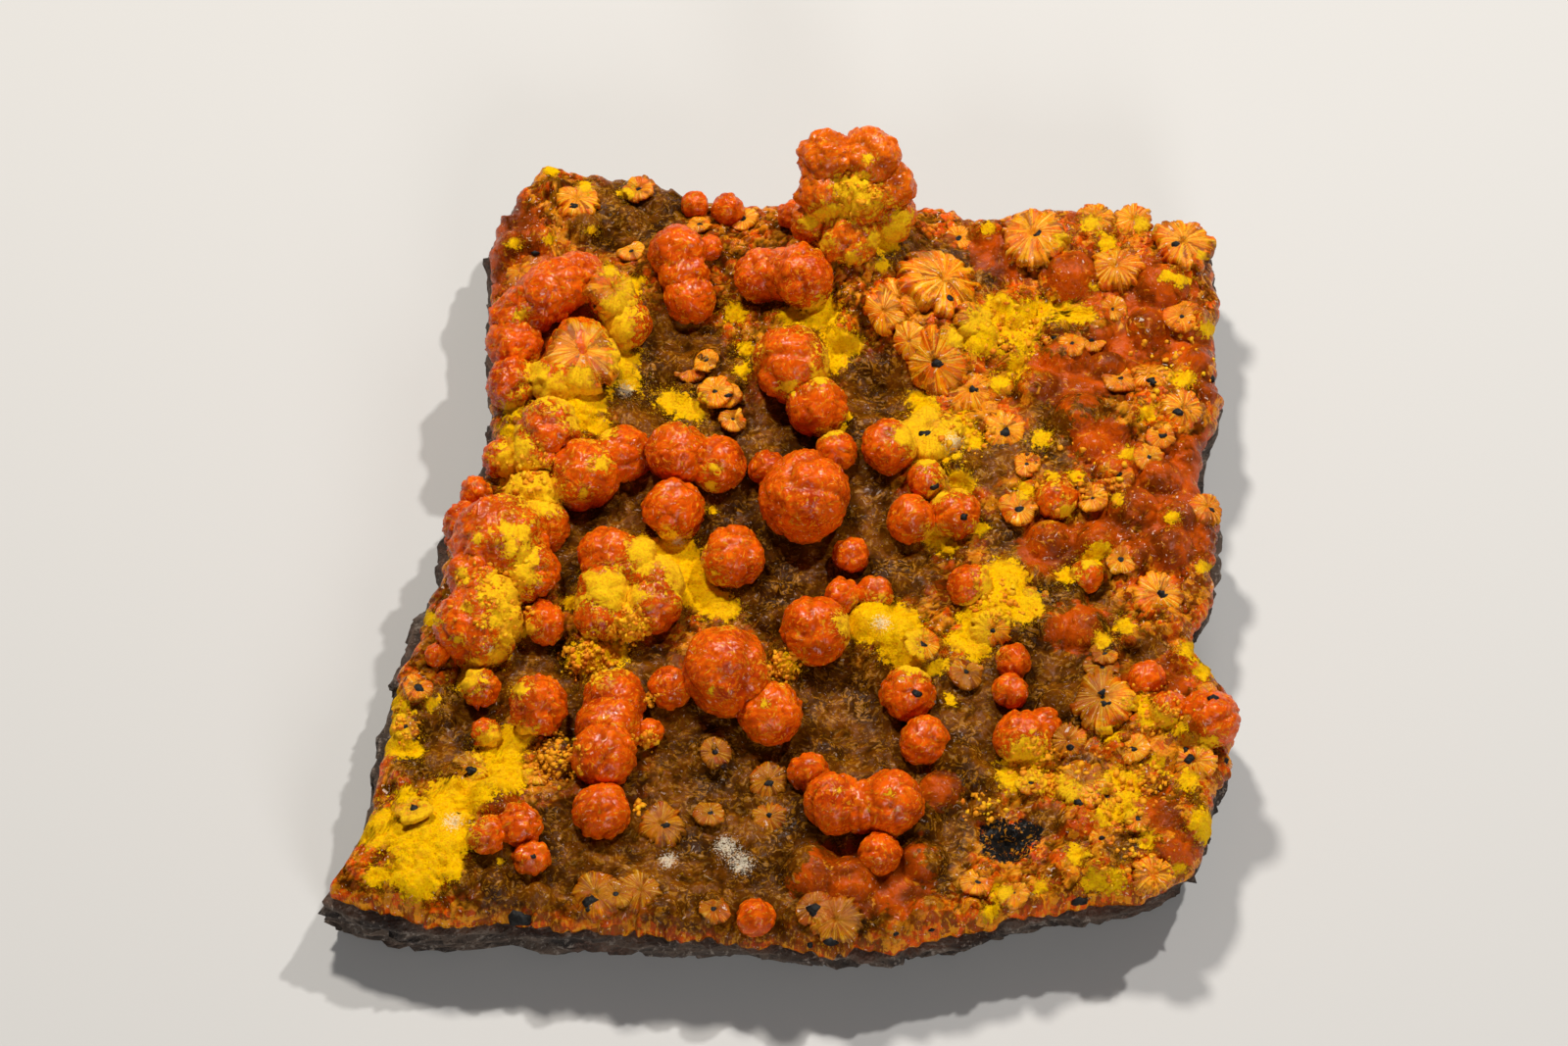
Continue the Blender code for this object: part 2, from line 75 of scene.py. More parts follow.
# The crust's edge seen from above, anticlockwise from the right
CRUST_EDGE = np.array([
    (19.5, 0.5), (19.5, 1.4), (19.3, 2.3), (18.8, 2.7), (18.7, 3.7), (18.8, 4.6), (19.0, 5.6), (19.5, 6.7),
    (19.8, 7.9), (19.6, 9.0), (19.6, 10.4), (19.8, 12.0), (19.9, 13.4), (19.7, 15.2), (19.4, 16.4),
    (18.6, 17.3), (17.6, 16.9), (16.6, 17.7), (15.0, 18.0), (13.4, 18.4), (11.2, 18.4), (10.0, 17.8),
    (8.5, 17.9), (7.2, 18.4), (5.8, 18.5), (4.0, 18.7), (2.2, 18.8), (0.6, 18.7), (-0.8, 18.6),
    (-2.2, 18.9), (-3.4, 18.9), (-4.4, 19.3), (-6.0, 19.8), (-7.8, 20.1), (-9.4, 20.4), (-10.5, 20.9),
    (-11.3, 20.8), (-12.3, 19.4), (-13.0, 17.9), (-13.5, 16.0), (-13.5, 14.0), (-13.3, 12.2),
    (-13.2, 10.0), (-13.2, 7.8), (-13.1, 5.6), (-13.3, 4.0), (-14.1, 3.1), (-14.6, 1.8), (-15.1, 0.6),
    (-15.0, -0.8), (-15.3, -2.0), (-15.9, -3.2), (-16.2, -4.6), (-16.8, -6.2), (-17.0, -8.0),
    (-17.3, -9.8), (-17.7, -11.6), (-17.8, -13.2), (-18.3, -14.6), (-19.1, -16.4), (-19.8, -17.3),
    (-18.9, -17.7), (-17.6, -18.2), (-16.0, -18.7), (-14.4, -18.9), (-12.4, -18.7), (-11.0, -18.8),
    (-9.6, -19.1), (-7.6, -19.1), (-5.4, -19.3), (-3.2, -19.6), (-1.0, -19.8), (1.0, -20.0),
    (2.2, -20.3), (3.4, -20.0), (4.6, -20.1), (6.0, -19.6), (7.6, -19.4), (9.2, -18.8), (11.2, -18.3),
    (13.2, -17.9), (15.0, -17.8), (16.2, -17.2), (17.6, -16.5), (18.1, -15.4), (18.4, -14.2),
    (18.7, -12.9), (19.3, -11.6), (19.7, -10.0), (19.8, -8.6), (19.5, -7.4), (18.8, -6.4),
    (18.1, -5.6), (18.1, -4.6), (18.6, -3.6), (19.0, -2.4), (19.2, -1.0),
])

# Broad swells and hollows of the crust: x, y, radius, rise
SWELLS = [
    (-9.5, 12.9, 3.6, 1.7), (-10.2, 6.8, 3.8, 1.6), (-12.6, -1.6, 3.8, 1.2), (-7.2, -2, 3.2, 1),
    (-4.6, 3.4, 3.2, 0.7), (0.6, 12.2, 3.8, 1.1), (3.2, 17.4, 3.6, 3.1), (6.9, 11.6, 3.4, 1.5),
    (6.4, 4.2, 3.2, 1), (1, 3, 3.4, 0.5), (-2.2, -6.8, 3.4, 0.5), (5, -5.4, 2.6, 0.8),
    (11.8, 16.2, 3.2, 0.9), (18, 15.4, 2.6, 0.8), (15.2, 13.4, 3.6, 0.6), (13.8, 6.6, 4, 0.7),
    (17.6, 7.4, 3, 0.7), (16.2, 0.6, 4.6, 0.9), (9.4, -3.4, 2.6, 0.8), (14.4, -8.2, 3.2, 0.9),
    (18, -8.8, 3, 0.8), (14, -14.6, 4.8, 0.7), (17.6, -14, 2.6, 0.4), (-15.6, -15.4, 3.6, 1.1),
    (-11.8, -14.8, 3, 0.7), (-7.8, -12.6, 2.6, 0.5), (-16.4, -7.4, 2.4, 0.3), (-11.4, 17.4, 3.4, 0.5),
    (-4.8, 15.2, 2.6, 0.6), (3.6, -14.2, 3.4, 0.4), (2.4, -18.6, 2.6, 0.5), (-6.8, -18, 2.6, 0.5),
    (6.4, -18.6, 2.4, 0.5), (-5.2, 9.6, 3.2, -0.4), (2.4, -8.8, 3.4, -0.5), (-14.4, -9.4, 2.4, -0.5),
    (-10.4, -6, 2.2, -0.4), (11.6, -6.6, 2.2, -0.4), (4.4, 8.4, 2.6, -0.5), (12.6, 4.6, 2.4, -0.3),
    (-0.6, -12.6, 3.2, -0.3), (8.6, 1.6, 2.4, -0.3), (7.6, -14.4, 2.8, -0.3), (9.8, -15.3, 1.6, -0.4),
]

# Balls that stand clear of the crust: x, y, radius, rise of the centre over the crust there
GREAT_BALLS = [
    (0.95, 2.3, 2.05, 1.15), (-2.6, -6.75, 1.98, 1.1), (0.35, 9.4, 1.8, 1), (1.5, 7.1, 1.4, 0.9),
    (1.4, -4.7, 1.55, 0.9), (-0.6, -8.9, 1.42, 0.8), (2.2, -13.4, 1.35, 0.8), (4.6, -13.4, 1.48, 0.9),
    (-4.8, 4.6, 1.4, 0.8), (-9, 3.45, 1.6, 0.6), (-12.6, -0.2, 2.2, 0.3), (-13.5, -4.4, 1.9, 0.5),
    (-2.3, -0.9, 1.4, 0.8), (-10.75, -8.5, 1.33, 0.7), (-7.4, -8.3, 1.42, 0.8), (-7.8, -11, 1.42, 0.8),
]

SMALL_BALLS = [
    (-12, 12, 1.35, 0.3), (-10.8, 13.2, 1.4, 0.5), (-9.4, 14.1, 1.25, 0.4), (-8, 13.2, 1.2, 0.3),
    (-7.2, 11.6, 1.2, 0.3), (-12.2, 10.4, 1.3, 0.2), (-9.3, 10.1, 1.5, 0.3), (-12.2, 8.3, 1.25, 0.3),
    (-10.3, 8.4, 1.3, 0.1), (-10.6, 5.8, 1.45, 0.3), (-7.2, 4.6, 1.3, 0.6), (-12.6, 4.3, 0.9, 0.2),
    (-13.8, 2.5, 0.75, 0.2), (-14.2, 0.8, 1, 0.2), (-10.9, 0.7, 1.3, 0.3), (-13.6, -1.9, 1.3, 0.2),
    (-15.3, -5.9, 0.5, 0.3), (-13.3, -7.6, 0.85, 0.5), (-10.6, -4.3, 0.95, 0.3), (-13, -9.9, 0.65, 0.3),
    (-7.8, -0.9, 1.35, 0.6), (-5.7, -2.3, 1.3, 0.5), (-8.2, -4, 1.1, 0.4), (-6.7, -4.2, 0.9, 0.4),
    (-3, 4, 1.3, 0.6), (-4.9, 1.6, 1.4, 0.7), (-0.8, 3.8, 0.8, 0.4), (2.35, 4.7, 0.9, 0.5),
    (4.7, 4.9, 1.25, 0.6), (5.7, 1.1, 1.1, 0.5), (7.6, 1.4, 1.15, 0.5), (6.4, 3.2, 0.85, 0.2),
    (3, -0.8, 0.82, 0.4), (2.6, -2.9, 0.8, 0.4), (4, -2.8, 0.8, 0.4), (8.2, -2.4, 1, 0.3),
    (-5, -7.6, 0.95, 0.4), (5.4, -7.9, 1.2, 0.5), (6.1, -10.3, 1.1, 0.5), (-5.9, -9.9, 0.65, 0.4),
    (10.1, -6.3, 0.8, 0.4), (9.9, -7.8, 0.8, 0.4), (10.4, -10.2, 1.25, 0.3), (11.3, -9.5, 0.8, 0.2),
    (-7.9, -13.8, 1.25, 0.4), (-12.8, -15, 0.85, 0.3), (-11.4, -14.5, 0.95, 0.3), (-10.9, -16.1, 0.8, 0.3),
    (4.1, -15.9, 0.95, 0.5), (1.1, -11.9, 0.9, 0.3), (-1.2, -19, 0.85, 0.2), (-4.9, 15.5, 1.3, 0.7),
    (-3.4, 15.8, 0.6, 0.3), (-4.3, 13, 1.2, 0.6), (-1, 14.2, 1.3, 0.6), (0.8, 14.2, 1.5, 0.6),
    (0.4, 17.6, 0.7, 0.4), (12.2, 2.1, 0.95, 0.3), (-4.1, 18.2, 0.65, 0.2), (-2.6, 17.9, 0.75, 0.2),
    (15.9, -7.2, 0.85, 0.2), (16.8, -8.7, 0.8, 0.2), (18.6, -9.2, 1.3, -0.1), (13.4, -1.9, 0.75, 0.2),
]

# Bridges that join neighbouring balls into long bodies, in the same way
BRIDGES = [
    (-7.6, -9.65, 1.47, 0.78), (-11.4, 12.6, 1.32, 0.4), (-10.1, 13.7, 1.3, 0.45), (-7.6, 12.4, 1.15, 0.3),
    (-4.6, 14.3, 1.15, 0.65), (-1.6, -7.9, 1.2, 0.7), (3.4, -13.6, 1.15, 0.7), (-0.1, 14.3, 1.25, 0.5),
    (-5.8, -3.3, 1.35, 0.5), (-7.9, -2.5, 1.2, 0.45), (-8.1, -3.3, 1.15, 0.4), (-6.7, -1.2, 1.2, 0.6),
    (-13.2, -3.2, 1.5, 0.3), (-11.4, -1.6, 1.4, 0.3), (-11.2, 2.2, 1.3, 0.3), (-10.9, 4.6, 1.3, 0.3),
]

# The tall cluster at the back edge: x, y, radius, height of the centre over the floor
TOWER_BALLS = [
    (2.1, 20.8, 1.35, 9.5), (3.9, 20.9, 1.4, 9.6), (4.95, 19.2, 1.15, 8.3), (1.9, 18.9, 1.3, 8.4),
    (3.5, 18.9, 1.4, 8.5), (4.9, 17.6, 1.2, 7), (3, 16.4, 1.4, 6.9), (1.3, 17.3, 1, 6.9),
    (4.6, 18.5, 1.3, 6.6), (2.4, 18.7, 1.4, 6.6),
]

# Flattened rosettes of blades: x, y, radius
ROSETTES = [
    (6.5, 5.6, 1.55), (6.9, 9.6, 1.5), (7.1, 13.6, 1.9), (5.2, 12.8, 1.2), (8.4, 7.9, 1.1),
    (11.5, 16.3, 1.5), (18.3, 15.9, 1.3), (14.3, 17.3, 0.9), (16, 17.2, 0.9), (9.9, 5.8, 0.95),
    (16.6, 8.6, 0.95), (17.9, 6.9, 1), (18.8, 1.6, 0.8), (16.6, -2.9, 1.08), (9.2, -4.6, 0.9),
    (14, -8.3, 1.35), (12.4, -10.3, 0.8), (17.9, -11.3, 0.95), (-13.6, -11.7, 0.8), (-5.3, -14.6, 1),
    (-0.7, -12.4, 0.85), (-0.6, -14.2, 0.75), (-8, -18, 1.1), (-6.2, -17.8, 0.9), (2.2, -19.2, 1.05),
    (-9.6, 18.3, 1), (-11.9, 14.2, 0.95), (15.2, 14.5, 1.2), (13, -12.6, 1.2), (15.8, -17, 0.9),
]

# Fans of blades that sit on balls: x, y, radius, rise of the centre over the crust
FANS = [
    (-9.2, 9.8, 1.6, 1), (-8, 13.4, 1.1, 1.1), (8.6, 11.8, 0.9, 0.3), (4.6, 12.2, 1, 0.5),
    (5.8, 10.6, 0.9, 0.3),
]

# Heaps of sugary grains: x, y, radius, count
HEAPS = [
    (-8.7, -6.1, 1.3, 150), (-9.9, -11.2, 1.3, 150), (0, -6.5, 0.9, 80), (-6.9, -4.6, 1, 100),
    (-6, -10.2, 0.6, 40), (-5.8, -8.2, 0.4, 20), (-6.3, -13.6, 0.3, 14), (8.6, -13.6, 0.9, 40),
    (11.2, -11.6, 1.6, 90), (14.6, -12.6, 2, 110), (16.4, -8.6, 1.4, 60), (9.6, -3.2, 1.4, 60),
    (-12.6, -3.2, 2, 90), (-16.6, -9.4, 1, 50), (14.8, -16.4, 2.2, 90), (10.6, 11.4, 1.8, 80),
    (-11.4, 3.6, 1.6, 60), (3.6, 18.6, 1.4, 60), (13.6, 3, 2.6, 70), (17.4, 9.6, 2, 50),
    (8.2, 5.6, 1.4, 50),
]

# Black grains, each at the heart of a rosette or in a pit: x, y, radius
BLACK_GRAINS = [
    (-9.7, 18.2, 0.15), (-11.4, 15.5, 0.15), (-7, 15.6, 0.1), (-6.7, 19.1, 0.15), (-3.9, 17.1, 0.12),
    (-1.9, 17.4, 0.2), (0.2, 18.6, 0.17), (12.9, 18, 0.15), (8, 16.3, 0.15), (11.7, 16.6, 0.18),
    (18, 16, 0.15), (8.6, 17.6, 0.12), (15, 12.4, 0.12), (18.1, 12, 0.12), (7.6, 13, 0.17),
    (12.3, 10.8, 0.12), (13.1, 10.5, 0.12), (14, 10.7, 0.1), (15.2, 8.6, 0.15), (16.7, 8.5, 0.18),
    (17.8, 6.8, 0.15), (19.4, 8.6, 0.15), (9.95, 5.7, 0.22), (17, 5.5, 0.18), (16.4, 4.4, 0.18),
    (15, 3.4, 0.15), (10.9, 4, 0.12), (13.8, 2.2, 0.1), (10.5, 1.6, 0.25), (19.1, 1.6, 0.12),
    (8.6, 8.1, 0.2), (7, 9.4, 0.2), (6.4, 5.7, 0.2), (6.7, 2.8, 0.15), (8, 1.2, 0.15), (-3.5, 9.6, 0.12),
    (-3.1, 7.9, 0.15), (-2.5, 7.7, 0.12), (-2.3, 6.4, 0.12), (-4.2, 9.1, 0.06), (11.3, -2.7, 0.12),
    (15, -1, 0.15), (16.7, -2.8, 0.2), (14.1, -5.9, 0.12), (14, -6.6, 0.12), (9.2, -4.7, 0.15),
    (6.1, -5.4, 0.15), (8, -6.8, 0.15), (5.8, -7.9, 0.15), (14, -7.8, 0.14), (13.95, -8.1, 0.12),
    (14, -8.4, 0.13), (14.2, -8.4, 0.1), (12.5, -10.6, 0.15), (15.2, -10.7, 0.12), (17.5, -10.7, 0.12),
    (17.6, -11.2, 0.2), (18.8, -8.1, 0.15), (19.2, -11.3, 0.15), (10.7, -12.4, 0.1), (12.8, -13.4, 0.15),
    (14, -13.1, 0.12), (15.3, -14.2, 0.15), (13.7, -15.1, 0.12), (8.3, -17.3, 0.15), (9.9, -17.8, 0.08),
    (12.7, -18.2, 0.25), (6.3, -19.6, 0.12), (4.8, -19.8, 0.12), (2, -20.2, 0.2), (1.1, -20.3, 0.15),
    (1.3, -18.6, 0.25), (-3, -18.6, 0.15), (-8.3, -18.2, 0.28), (-8.4, -18.6, 0.15), (-7.2, -17.9, 0.18),
    (-5.1, -14.5, 0.15), (-3.2, -13.9, 0.15), (-0.65, -12.4, 0.15), (-0.6, -14, 0.12), (-3, -10.9, 0.12),
    (-13.6, -11.8, 0.2), (-16, -13.7, 0.22), (-10.8, -12, 0.15), (-10.8, -16, 0.1), (-16.1, -7.6, 0.25),
    (-16.6, -9.6, 0.18), (-11.3, -19, 0.35),
]


def by_radius(groups):
    """A table of x, y, radius from places listed by their radius."""
    return [(x, y, radius) for radius, places in groups.items() for x, y in places]


# Low domes between the balls, by the radius of the sphere
DOMES = by_radius({
    0.7: [(11, 4), (17.4, -16), (10.6, -18.3), (-2.2, 6), (-14.8, -9.2), (-18.2, -17), (0.4, -19.3),
        (7.1, -4.3), (-0.7, -2.7)],
    0.8: [(16, 4.2), (14.6, 3.6), (18.4, -1.6), (14.3, -6), (12.2, -17.6), (8.6, -17), (17.8, -14.4),
        (8.2, -18.9), (14.6, -17.6), (-6.8, 19), (-7.4, 15.8), (-4.6, 9), (-5.6, 8.6), (-4.4, 7.4),
        (8.6, 6), (7.6, 3.8), (-16.2, -7.6), (-16.4, -10.2), (-17.6, -14.6), (-12.4, -17.4),
        (-10.6, -18.2), (-3.1, -18.6), (-3.2, -14.1), (-10.6, 18.9)],
    0.9: [(19, 9.4), (19.2, 7.6), (16.9, 5.4), (18.2, 4.6), (13.8, 2), (10.6, 1.4), (15.6, -1),
        (11.2, -2.3), (16.9, -4.4), (15.6, -5.4), (17.6, -6.6), (17.6, -9.8), (15.4, -9.6), (14.6, -10.8),
        (16.4, -10.9), (11, -11.6), (10.8, -13), (15.4, -14.2), (12.6, -14.6), (16.4, -15.6),
        (13.6, -16.4), (10.2, -17.6), (8.8, -13.8), (-7.2, 17), (-9.2, 16.6), (-12.6, 15.8), (-3.4, 9.4),
        (-2.8, 7.6), (-16.4, -12.4), (-14.4, -12.4), (-14, -17.2), (-16.2, -17.6), (-5.2, -18.9),
        (4.6, -19.4), (-3, -10.9), (7.9, -6.6), (-0.7, -4.3), (9.4, 16.6)],
    1: [(12.2, 11.2), (14.2, 11), (10.2, 9.8), (14.6, 8.9), (13.9, 4.8), (17.4, 1), (14, -0.1),
        (12.6, -3.2), (11.8, -4.6), (-11.4, 16), (2.6, 11.2), (8.8, 10.6), (-16, -13.7), (6.3, -19),
        (0, -6.4), (8.4, -12.4), (6.2, -5.6), (11.9, -8.9), (5, -5)],
    1.1: [(16.5, 11.2), (18.6, 11.4), (16.8, 3), (11.8, -0.2), (17.2, -0.6), (3.2, 12.8),
        (-9.8, -11.4), (5.8, -14.6), (6, -16.4), (3.9, -4.4)],
    1.2: [(10.5, 12.2), (12.8, 9.4), (11.4, 7.8), (15.2, 6), (15.6, 1.4), (13.2, -4.8), (-12.6, -13.5),
        (-8.7, -6.1), (6.8, -13.2), (7.4, -11.6)],
    1.3: [(13.2, 14), (17.2, 13.4), (13.4, 6.4), (2.8, -17.4)],
    1.4: [(1.2, -17)],
})

# Yellow powder
POWDER = by_radius({
    0.2: [(-3.2, -7.7), (-0.8, -8.4), (4.6, -12.9), (2.4, -12.8)],
    0.25: [(2.9, 6.6), (-12.2, -16.3)],
    0.3: [(-8.9, 2.5), (-13.9, -3.6), (-14.4, -5.2), (-3.2, 1.6), (2.6, 5.9), (4, 20.9),
        (-15.9, -2.2)],
    0.35: [(-13.6, 0.2), (-12.8, -4.2), (-3.2, 3.8), (-3.3, 2.9), (14.2, 13.6)],
    0.4: [(-12, 12.1), (-10.8, 16.3), (-8.9, 16.8), (-12.2, -0.4), (-12.9, -1.9), (-14.2, -1.9),
        (-11.2, -4.6), (-8.6, -1.9), (-6.2, -1.5), (1.9, 5.7), (3.6, 19.7), (17.5, 14.3), (19.2, 15.4),
        (12, 3.4), (6.9, -6.5), (7.3, -8.2), (6.4, -6.8), (-11.2, -9.9), (-16.4, -4.1), (-17.2, -7.9)],
    0.45: [(14.9, 2.2)],
    0.5: [(-8, 14.6), (-12.4, 5.8), (-8.2, 4.1), (-11.3, 9.2), (-12.4, 16.1), (-10.8, 20.2),
        (-9.2, 19.2), (-7.3, 18.9), (-12.4, 0.6), (-13.2, -2.6), (-13.6, -6.5), (-15.6, -4.1),
        (-6.6, -2.9), (-9.4, -3.2), (-6.3, -0.2), (-1.9, 9), (0.2, 8.2), (1.6, 8.7), (2.7, 19.4),
        (1.8, 16), (3.1, 15.2), (5.5, 17.6), (4.8, 15.9), (1.9, 17.8), (4.5, 14.8), (6.3, 4.4), (5.3, 5.4),
        (8.2, 2.9), (6.8, 2.4), (6.6, 0.2), (8.8, 0.6), (8, 6.4), (13.7, 12.1), (12.8, 16.2), (9.4, 16.9),
        (18.2, 14), (17.8, 8.6), (18.3, 8.6), (15.4, 4.6), (12.6, 1.6), (13.1, 3.4), (17.3, 1.2),
        (14.1, -0.4), (18.6, -1.4), (16.6, -9.3), (17.2, -9.6), (18.4, -10.4), (8.8, -18.8), (11, -17.5),
        (16.2, -11.4), (13.2, -17.3), (17, -16.6), (-16.4, -12.9), (-16, -10.8), (-15.4, -8.4),
        (-12.8, -10.2), (-11.6, -7.7)],
    0.55: [(-11.6, 0.4)],
    0.6: [(-6.9, 13.8), (-12.3, 7), (-12.6, 4.2), (-9.2, 6.2), (-8.2, 5.9), (-9.3, 8.8), (-11.3, -0.9),
        (-12.6, -6), (-6.4, -0.6), (-1.7, 10.2), (1.4, 11.8), (3.2, 10.4), (2.9, 17.9), (1.2, 17.2),
        (4.2, 16.2), (6, 7.6), (6.6, 7), (8.6, 5.2), (11, 10.6), (9.1, 10.4), (7.8, 10.9), (14.1, 17.2),
        (14.9, 16.1), (16.5, 17.1), (19.3, 11.3), (16.4, 6.8), (9.8, 8.4), (10.8, 2.7), (13.6, -1),
        (11, -3.4), (7.6, -5.2), (17.8, -5.6), (18.4, -6.8), (15, -4.4), (14, -5.2), (12.5, -1.9),
        (3.6, -3.7), (5.6, -4.4), (5.6, -6.4), (2.8, -4.4), (3.4, -4.8), (15.6, -8.4), (15.9, -9.2),
        (14.2, -9.9), (14.8, -13.8), (18.3, -15), (12.6, -15.9), (15.6, -15.2), (9.4, -17.8),
        (12.4, -12.9), (-17.9, -15.1), (-17.6, -17), (-14.2, -16.6)],
    0.65: [(-12.1, -5)],
    0.7: [(-7, 8.4), (-11.9, 4.9), (-12.2, 3), (-10.6, 2), (-11.6, -1.8), (-12.2, -3.8), (-13.9, -7.3),
        (-2.4, -3.6), (-7.6, -2.1), (-8.2, -2.6), (-7.3, -3), (-7.4, -5.9), (2.3, 9.6), (0.2, 12),
        (4, 18.4), (5.1, 16.8), (7.8, 3.2), (7.2, -0.3), (11.6, 12.4), (10.6, 9.4), (11.6, 5.4),
        (10.2, -1.9), (9.4, -2.4), (8.5, -3.6), (8.4, -4.4), (5, -4), (17.6, -12.2), (14.4, -12.2),
        (13.9, -14), (18, -14.2), (10.8, -10.7), (11.6, -12.4), (-16.9, -8.6), (-16.8, -9.8), (-17, -10.6),
        (-11.9, -10.2)],
    0.8: [(-7.2, 9.6), (-11.4, 3.6), (-12.2, -2.8), (-4.5, -0.6), (-6.7, -4.5), (-5.2, 7.4),
        (-2.2, 12.2), (2.4, 10.8), (2, 12.4), (5.9, 6), (7.5, 5.6), (9.9, 12.6), (13, 12.2), (9.6, -1.6),
        (10.4, -3.7), (8.6, -5.6), (5.1, -5.8), (0, -6.5), (15, -12.6), (10.4, -11.2), (9.8, -12.2),
        (-13.4, -12.9), (-14.2, -15), (-15.6, -17.6)],
    0.9: [(-7.5, 11.2), (-10.9, 8.2), (-9.6, 7.7), (-8.6, 7.4), (-5.2, -0.5), (-4.4, -1.6), (-4, -2.6),
        (-3.3, -3.2), (-4, 6.9), (3.3, 18.9), (6.8, 4.9), (8.6, 11), (9.4, 11.8), (10.8, 11.6), (9.8, -3),
        (4.4, -4.2), (4.9, -5), (14.1, -17.1), (-11.8, -12.2), (-14.7, -12.9), (-14.2, -13.6),
        (-16.4, -14.9), (-15.2, -14.4), (-15, -16)],
    1: [(-7.6, 12.6), (-11, 2.6), (-17.2, -14.3), (-16.2, -16.8)],
    1.2: [(-8.6, -6.1), (-12.4, -11.2)],
})

# Brown silky ground
BROWN = by_radius({
    0.9: [(13.2, -11.6), (16.2, -5.6), (14.6, -15.6), (11.4, -14.2)],
    1.2: [(-9.6, -1.6), (8, -12.2)],
    1.3: [(-6.2, 5.6)],
    1.4: [(5.2, 15.6), (-15.6, -11), (10, 0.2), (-8.2, 8.8), (4.4, 6.6), (-6, -6.6), (2.8, 4.2)],
    1.5: [(-8.4, 0.6)],
    1.6: [(0.4, 5.6)],
    1.8: [(8.5, 14.8), (8.8, 4.2), (-5.8, 1.6), (9.2, -9.6), (5.6, -16.2), (3, -17.6)],
    2: [(-12, -17), (11.5, -6.5), (12.5, -3.5), (-2, 4), (5, -1.5), (4.2, 8.5), (-14.5, -9),
        (-10.5, -6.5), (-9, -9), (12.8, 5.5), (-6, 18.5), (-8, -16), (-2.6, 1.6), (3.4, 1.6), (-4.2, -9.6),
        (11.5, -8.4)],
    2.2: [(7.5, -8.5), (-8, 17.5), (-1.2, -1.6), (12.5, -5.6)],
    2.5: [(-9.5, -15.5), (6.5, -12.5), (-4, 8), (0, -2.5), (13.5, 9.5)],
    3: [(-6, 10)],
    3.5: [(3, -9)],
    4: [(-3.5, -15.5)],
    5: [(1, -15)],
})

# Smooth russet ground
RUSSET = by_radius({
    0.8: [(19.2, 8.2), (13.8, 17.9)],
    0.9: [(18.8, 10.2)],
    1: [(16.9, -6.9), (17.2, -15.6), (15.9, -13.8), (-12.2, -13.6), (-13.4, 18.5), (6.8, -12.6)],
    1.1: [(-12.9, 10.6)],
    1.2: [(18.6, 4.6), (14.2, 5.2), (17, 10.6), (-12.9, 14.8)],
    1.3: [(17.6, 13.4), (14.8, 10), (18.9, -8.8)],
    1.4: [(13, -4.6), (11.6, -0.4), (-11.8, 8.9)],
    1.5: [(13.4, 14.2), (15.6, 14), (9.8, 15.6)],
    1.6: [(15, 0.6), (-12.6, 16.9), (2, -17.4)],
    1.8: [(17.8, 0.2), (12.8, 8.8)],
    2: [(4.5, -17), (3, 20.8)],
    2.2: [(16.6, 2.6)],
    2.4: [(-9.9, 12.9)],
    2.6: [(2.8, 17.9)],
})

# White and cream patches
PALE = by_radius({
    0.2: [(-12.9, -5.6)],
    0.3: [(-4.7, -0.1)],
    0.5: [(-5, -16.2), (4.3, -4.3), (-14.3, -14.3), (-7.2, 8)],
    0.6: [(-1.8, -16.4), (-2.5, -15.5), (7.6, 5.2)],
})

# The black patch in the front right hollow: x, y, radius
BLACK_PATCH = [
    (9.2, -14.9, 0.7), (10.1, -15.2, 0.8), (9.6, -15.7, 0.6), (10.7, -14.8, 0.5), (9, -15.6, 0.4),
]

PATCHES = {"powder": POWDER, "brown": BROWN, "pale": PALE, "russet": RUSSET, "black": BLACK_PATCH}

# Mesh density
SHEET_CELLS = 348
SKIRT_SHARE = 0.045
ROSETTE_CELLS = 52
FLOWER_CELLS = 22
GRAIN_CELLS = 8
SUGAR_CELLS = 4
ROCK_CELLS = 190
BALL_CELLS_PER_MM = 42


# Numbers from places

def lattice(i, j, k, seed):
    """A fixed number from 0 to 1 for each whole-numbered place."""
    mixed = (i * 374761393 + j * 668265263 + k * 1442695041 + seed * 1274126177) & 0xFFFFFFFF
    mixed = ((mixed ^ (mixed >> 13)) * 1274126177) & 0xFFFFFFFF
    return ((mixed ^ (mixed >> 16)) & 0xFFFF) / 65535.0


def value_noise(points, seed=0):
    """Smooth noise from -1 to 1, one change per unit of length."""
    cell = np.floor(points).astype(np.int64)
    part = points - cell
    part = part * part * (3.0 - 2.0 * part)
    total = np.zeros(len(points))
    for corner in product((0, 1), repeat=3):
        weight = np.abs(1 - np.array(corner) - part).prod(axis=1)
        total += weight * lattice(*(cell + corner).T, seed)
    return 2.0 * total - 1.0


def grains(points, seed=0):
    """Distance to the nearest of scattered seeds, to the second, the way to it and its own number."""
    base = np.floor(points).astype(np.int64)
    near = np.full(len(points), 9.0)
    second, offset, own = near.copy(), np.zeros_like(points), np.zeros(len(points))
    for corner in product((-1, 0, 1), repeat=3):
        cell = base + corner
        spot = cell + np.stack([lattice(*cell.T, seed + part) for part in (1, 2, 3)], axis=1)
        gap = points - spot
        distance = np.sqrt((gap * gap).sum(axis=1))
        closer = distance < near
        second = np.where(closer, near, np.minimum(second, distance))
        offset[closer] = gap[closer]
        own = np.where(closer, lattice(*cell.T, seed + 4), own)
        near = np.where(closer, distance, near)
    return near, second, offset, own


def plates(offset, own, axes=3):
    """Heights of flat plates round scattered seeds, each tilted its own way."""
    tilts = np.stack([own, own * 7.3 % 1.0, own * 13.7 % 1.0], axis=1) - 0.5
    return (offset * tilts)[:, :axes].sum(axis=1)


def smooth(value, low, high):
    share = np.clip((value - low) / (high - low), 0.0, 1.0)
    return share * share * (3.0 - 2.0 * share)


# The crust's outline and relief

